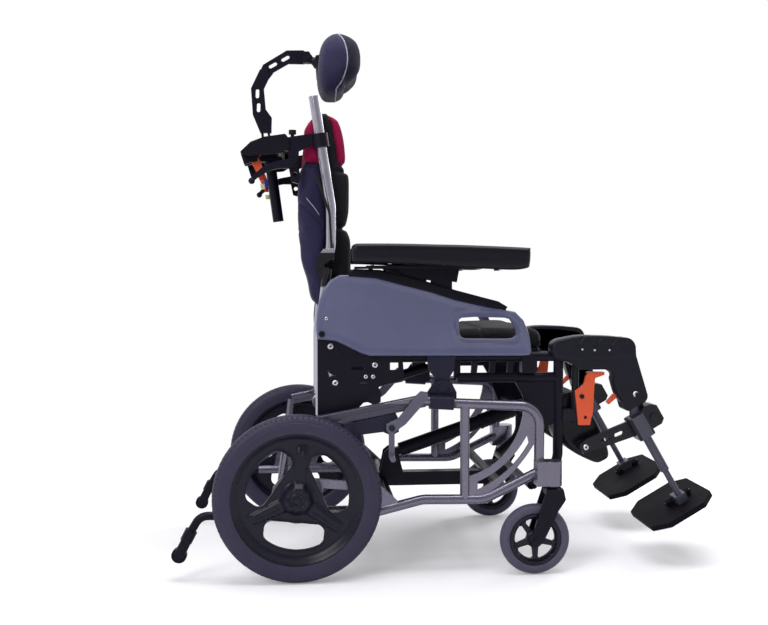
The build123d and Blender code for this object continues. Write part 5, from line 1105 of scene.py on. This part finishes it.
def make_rear_wheel(tag, side):
    centre = (WHEEL_X, WHEEL_Z)
    border = circle(*centre, RIM_R, 180)
    core = [(67.0, -46.0), (67.0, 46.0)]
    for k in range(41):
        a = math.radians(-30.35 + 60.7 * k / 40)
        core.append((91 * math.cos(a), 91 * math.sin(a)))
    windows = [rounded_window(core, 17.0, centre, math.radians(a), 72) for a in WINDOW_TURNS]
    near_window = edge_tree(windows)

    def top(x, z, d):
        dx, dz = x - WHEEL_X, z - WHEEL_Z
        r = math.hypot(dx, dz)
        y = 3.0 + 14.0 * smooth_step((r - 119) / 24.0) + 17.0 * (1 - smooth_step((r - 19) / 20.0))
        for a in SPOKES:
            c, s = math.cos(math.radians(a)), math.sin(math.radians(a))
            along, off = dx * c + dz * s, abs(-dx * s + dz * c)
            if along > 0:
                fade = smooth_step((118 - along) / 24.0) * smooth_step((along - 12) / 12.0)
                y += 7.0 * fade * (1 - smooth_step((off - (13.0 - 0.055 * along)) / 5.0))
                y -= 2.5 * fade * (1 - smooth_step(off / 3.0))
        y += 2.0 * (1 - smooth_step(near_window(x, z) / 4.5))
        if r > 138.5:
            y -= profile_fall(RIM_R - r, 4.0)
        return WHEEL_Y + y

    def bottom(x, z, d):
        r = math.hypot(x - WHEEL_X, z - WHEEL_Z)
        y = 2.0 + 12.0 * (1 - smooth_step((r - 33) / 12.0)) + 15.0 * smooth_step((r - 126) / 14.0)
        return WHEEL_Y - y

    rim = sculpt("rear_rim_web_" + tag, border, windows, side, top, bottom, RIM_BLACK, 4.2, (0.6, 1.6, 3.2), 45)
    hub = turned_piece(
        "rear_hub_" + tag, (WHEEL_X, side * (WHEEL_Y + 17), WHEEL_Z), (0, side, 0),
        [(0, 15), (3.5, 14.6), (4.6, 13), (4.2, 9), (3.4, 8), (5.0, 7.4), (5.6, 5.5), (5.8, 2)], RIM_BLACK, 32,
    )
    section = ((250.4, 50.3), (250.4, 54), (264, 54), (268, 51), (268, 34), (266, 34), (266, 50.3))
    drum = lathe("rear_drum_" + tag, centre, [(side * y, r) for y, r in section], GREY_PAINT, 90)
    for piece in (rim, hub, drum):
        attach(piece, "rear_wheel_" + tag)
    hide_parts("rear_rim_" + tag)

    def tread(k, a, r):
        if k not in LUG_ROWS:
            return r
        turn = math.fmod(a * TREAD_BLOCKS / (2 * math.pi) + 0.5 * (k % 2) + 8.0, 1.0)
        return r - (LUG_DEPTH if turn < 0.34 else 0.0) * (0.5 if k in CENTRE_ROWS else 1.0)

    rows = [(side * WHEEL_Y + y, r) for y, r in TYRE_ROWS]
    tyre = lathe("rear_tyre_tread_" + tag, centre, rows, TYRE, 288, tread)
    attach(tyre, "rear_wheel_" + tag)
    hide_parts("rear_tyre_" + tag)


def make_caster_hub(tag, side):
    centre = (CASTER_X, CASTER_Z)
    border = circle(*centre, CASTER_RIM_R, 96)
    turns = (-0.36, -0.24, -0.12, 0.0, 0.12, 0.24, 0.36)
    core = [(24.0, -3.0), (24.0, 3.0)] + [(39.0 * math.cos(b), 39.0 * math.sin(b)) for b in turns]
    windows = [rounded_window(core, 5.0, centre, math.radians(20 + 72 * k), 48) for k in range(5)]

    def face(x, z, d):
        r = math.hypot(x - CASTER_X, z - CASTER_Z)
        y = 5.0 + 7.0 * smooth_step((r - 45.5) / 3.0) + 10.0 * (1 - smooth_step((r - 10.0) / 8.0))
        rim_edge = profile_fall(CASTER_RIM_R - r, 1.5) if r > 54.8 else 0.0
        return y - rim_edge - 1.2 * (1 - smooth_step(d / 1.2))

    def top(x, z, d):
        return CASTER_Y + face(x, z, d)

    def bottom(x, z, d):
        return CASTER_Y - face(x, z, d)

    hub = sculpt("caster_web_" + tag, border, windows, side, top, bottom, RIM_BLACK, 3.0, (0.4, 1.2), 45)
    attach(hub, "caster_wheel_" + tag)
    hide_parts("caster_hub_" + tag)


# ---- leg covers ----
LEG_COVER_Y = 194
COVER = [
    (228, 492), (239, 503), (259, 508), (293, 513), (338, 512), (371, 509), (394, 505), (408, 499), (412, 487),
    (413, 469), (422, 435), (436, 391), (441, 377), (430, 366), (416, 356), (403, 347), (394, 356), (377, 380),
    (366, 414), (367, 427), (350, 437), (316, 439), (300, 443), (286, 452), (259, 456), (237, 461), (228, 477),
]


def make_leg_cover(tag, side):
    def carve(x, z, d):
        dent = 0.0
        for x0 in (284, 324, 360, 388):
            line = x - x0 - (z - 492) * 0.7
            dent -= 4.0 * bell(line, 0, 2.2) * smooth_step((z - 486) / 8.0)
        step = 1.6 * smooth_step((z - 462 - (x - 340) * 0.04) / 3.0) * smooth_step((404 - x) / 8.0)
        return dent + step + wrinkle(x, 3, z, 30, 0.5)

    cover = pillow("leg_cover_" + tag, COVER, side, LEG_COVER_Y, 20, 8, COVER_BLACK, 3.4, carve, 150)
    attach(cover, "legrest_hanger_" + tag)
    dome = [(0, 2.6), (1.6, 2.4), (2.2, 1.4)]
    for k, (x, z) in enumerate(((295, 483), (323, 481), (356, 481))):
        stud = turned_piece("cover_stud_%s_%d" % (tag, k), (x, side * 214, z), (0, side, 0), dome, STEEL, 14)
        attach(stud, "legrest_hanger_" + tag)
    socket_screw("cover_bolt_" + tag, 417, side * 213.5, 383, side, 6.5, "legrest_hanger_" + tag)
    outline = [(357, 363), (363, 357), (386, 377), (383, 384), (372, 380)]
    tab = slab("cover_tab_" + tag, outline, side * 184, side * 194, ORANGE, 2.0, 3)
    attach(tab, "legrest_hanger_" + tag)


# ---- grips' small colour marks ----
GRIP_Y = 150


def make_triggers(tag, side):
    y = side * GRIP_Y
    marks = (
        ("tab_red", [(-409, 859), (-399, 859), (-398, 851), (-408, 851)], 5.0, RED),
        ("tab_blue", [(-398, 855), (-390, 853), (-388, 838), (-396, 835)], 7.0, BLUE),
        ("tab_cream", [(-407, 844), (-396, 844), (-396, 833), (-405, 833)], 5.5, CREAM),
    )
    for name, outline, half, mat in marks:
        piece = slab("%s_%s" % (name, tag), outline, y - half, y + half, mat, 1.6, 3)
        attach(piece, "trigger_" + tag)


# ---- strut sleeve and bolts ----
def make_sleeve():
    foot, head = Vector((-108.0, 0, 220.0)), Vector((205.0, 0, 326.0))
    run = (head - foot).normalized()
    start = foot + run * 226
    profile = [(0, 16.9), (0.6, 18.6), (6, 18.9), (9, 17.6)]
    for k in range(7):
        profile += [(10 + k * 11, 17.5), (14 + k * 11, 18.1), (18 + k * 11, 17.5)]
    profile += [(90, 17.0), (93, 14.0), (94, 8.2)]
    sleeve = turned_piece("strut_sleeve", tuple(start), tuple(run), profile, BLACK_PAINT, 32)
    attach(sleeve, "tilt_rod")


SEAT_PLATE_Y = 205.5
SEAT_BOLTS = (
    (-256, 492, 6.5), (-160, 451, 6.5), (-180, 426, 5.0), (-164, 426, 5.0), (-246, 413, 6.5),
    (-175, 482, 4.5), (-188, 499, 4.5),
)


def make_bolts(tag, side):
    for k, (x, z, r) in enumerate(SEAT_BOLTS):
        socket_screw("seat_bolt_%s_%d" % (tag, k), x, side * SEAT_PLATE_Y, z, side, r, "seat")


make_headrest()
make_back()
make_seat()
make_sleeve()
for tag, side in SIDES:
    make_arm_pad(tag, side)
    make_calf_pad(tag, side)
    make_side_panel(tag, side)
    make_rear_wheel(tag, side)
    make_caster_hub(tag, side)
    make_leg_cover(tag, side)
    make_triggers(tag, side)
    make_bolts(tag, side)


# ---- stage ----
def shown(n, also=()):
    """1 for rays from the camera, and for the other kinds named."""
    path = n.add("ShaderNodeLightPath")
    kinds = [path.outputs[kind] for kind in ("Is Camera Ray", *also)]
    mask = kinds[-1]
    for kind in reversed(kinds[:-1]):
        mask = n.math("MAXIMUM", kind, mask)
    return mask


MIRRORED = ("Is Glossy Ray", "Is Transmission Ray")


FLOOR_REACH = 30


def add_floor():
    n = Nodes("floor")
    n.set(Roughness=0.9, Base_Color=(0.86, 0.86, 0.9, 1), Specular_IOR_Level=0.0)
    glow = n.add("ShaderNodeEmission", Color=(1, 1, 1, 1))
    n.link(n.times(shown(n), 0.19), glow.inputs["Strength"])
    lit = n.add("ShaderNodeAddShader")
    n.link(n.bsdf.outputs[0], lit.inputs[0])
    n.link(glow.outputs[0], lit.inputs[1])
    white = n.add("ShaderNodeEmission", Color=(1, 1, 1, 1))
    x = n.xyz()
    fade = n.spread(n.length(x[0], x[1]), 0.75, 1.5, 0.0, 1.0)
    blend = n.add("ShaderNodeMixShader")
    n.link(n.times(fade, shown(n, MIRRORED)), blend.inputs[0])
    n.link(lit.outputs[0], blend.inputs[1])
    n.link(white.outputs[0], blend.inputs[2])
    n.link(blend.outputs[0], n.tree.nodes["Material Output"].inputs["Surface"])
    mesh = bpy.data.meshes.new("floor")
    far = FLOOR_REACH
    mesh.from_pydata([(-far, -far, 0), (far, -far, 0), (far, far, 0), (-far, far, 0)], [], [(0, 1, 2, 3)])
    floor = bpy.data.objects.new("floor", mesh)
    floor.data.materials.append(n.mat)
    bpy.context.collection.objects.link(floor)


def add_world():
    """White to the camera and in reflections, dimmer from the front as light."""
    world = bpy.data.worlds.new("world")
    bpy.context.scene.world = world
    n = Nodes("world", world)
    level = n.spread(shown(n, MIRRORED), 0.0, 1.0, 0.5, 1.0)
    parts = n.add("ShaderNodeSeparateXYZ")
    n.link(n.coord.outputs["Generated"], parts.inputs[0])
    side_light = n.spread(parts.outputs[1], -0.75, 0.1, 0.42, 1.0)
    back = n.tree.nodes["Background"]
    n.link(n.times(level, n.math("MAXIMUM", shown(n), side_light)), back.inputs["Strength"])
    back.inputs["Color"].default_value = (1, 1, 1, 1)


def add_area(name, place, aim, size, power):
    data = bpy.data.lights.new(name, "AREA")
    data.shape = "RECTANGLE"
    data.size, data.size_y = size
    data.energy = power
    lamp = bpy.data.objects.new(name, data)
    lamp.location = place
    lamp.rotation_euler = (Vector(aim) - Vector(place)).to_track_quat("-Z", "Y").to_euler()
    bpy.context.collection.objects.link(lamp)


add_floor()
add_world()
add_area("top", (0.0, -0.3, 3.0), (0.0, 0.0, 0.4), (2.6, 1.8), 62)
add_area("key", (-1.9, -2.4, 2.3), (0.0, 0.0, 0.5), (1.2, 1.6), 40)
add_area("rim", (1.9, 1.6, 1.7), (0.0, 0.0, 0.5), (0.8, 1.6), 26)

view = bpy.context.scene.view_settings
view.view_transform = "Standard"
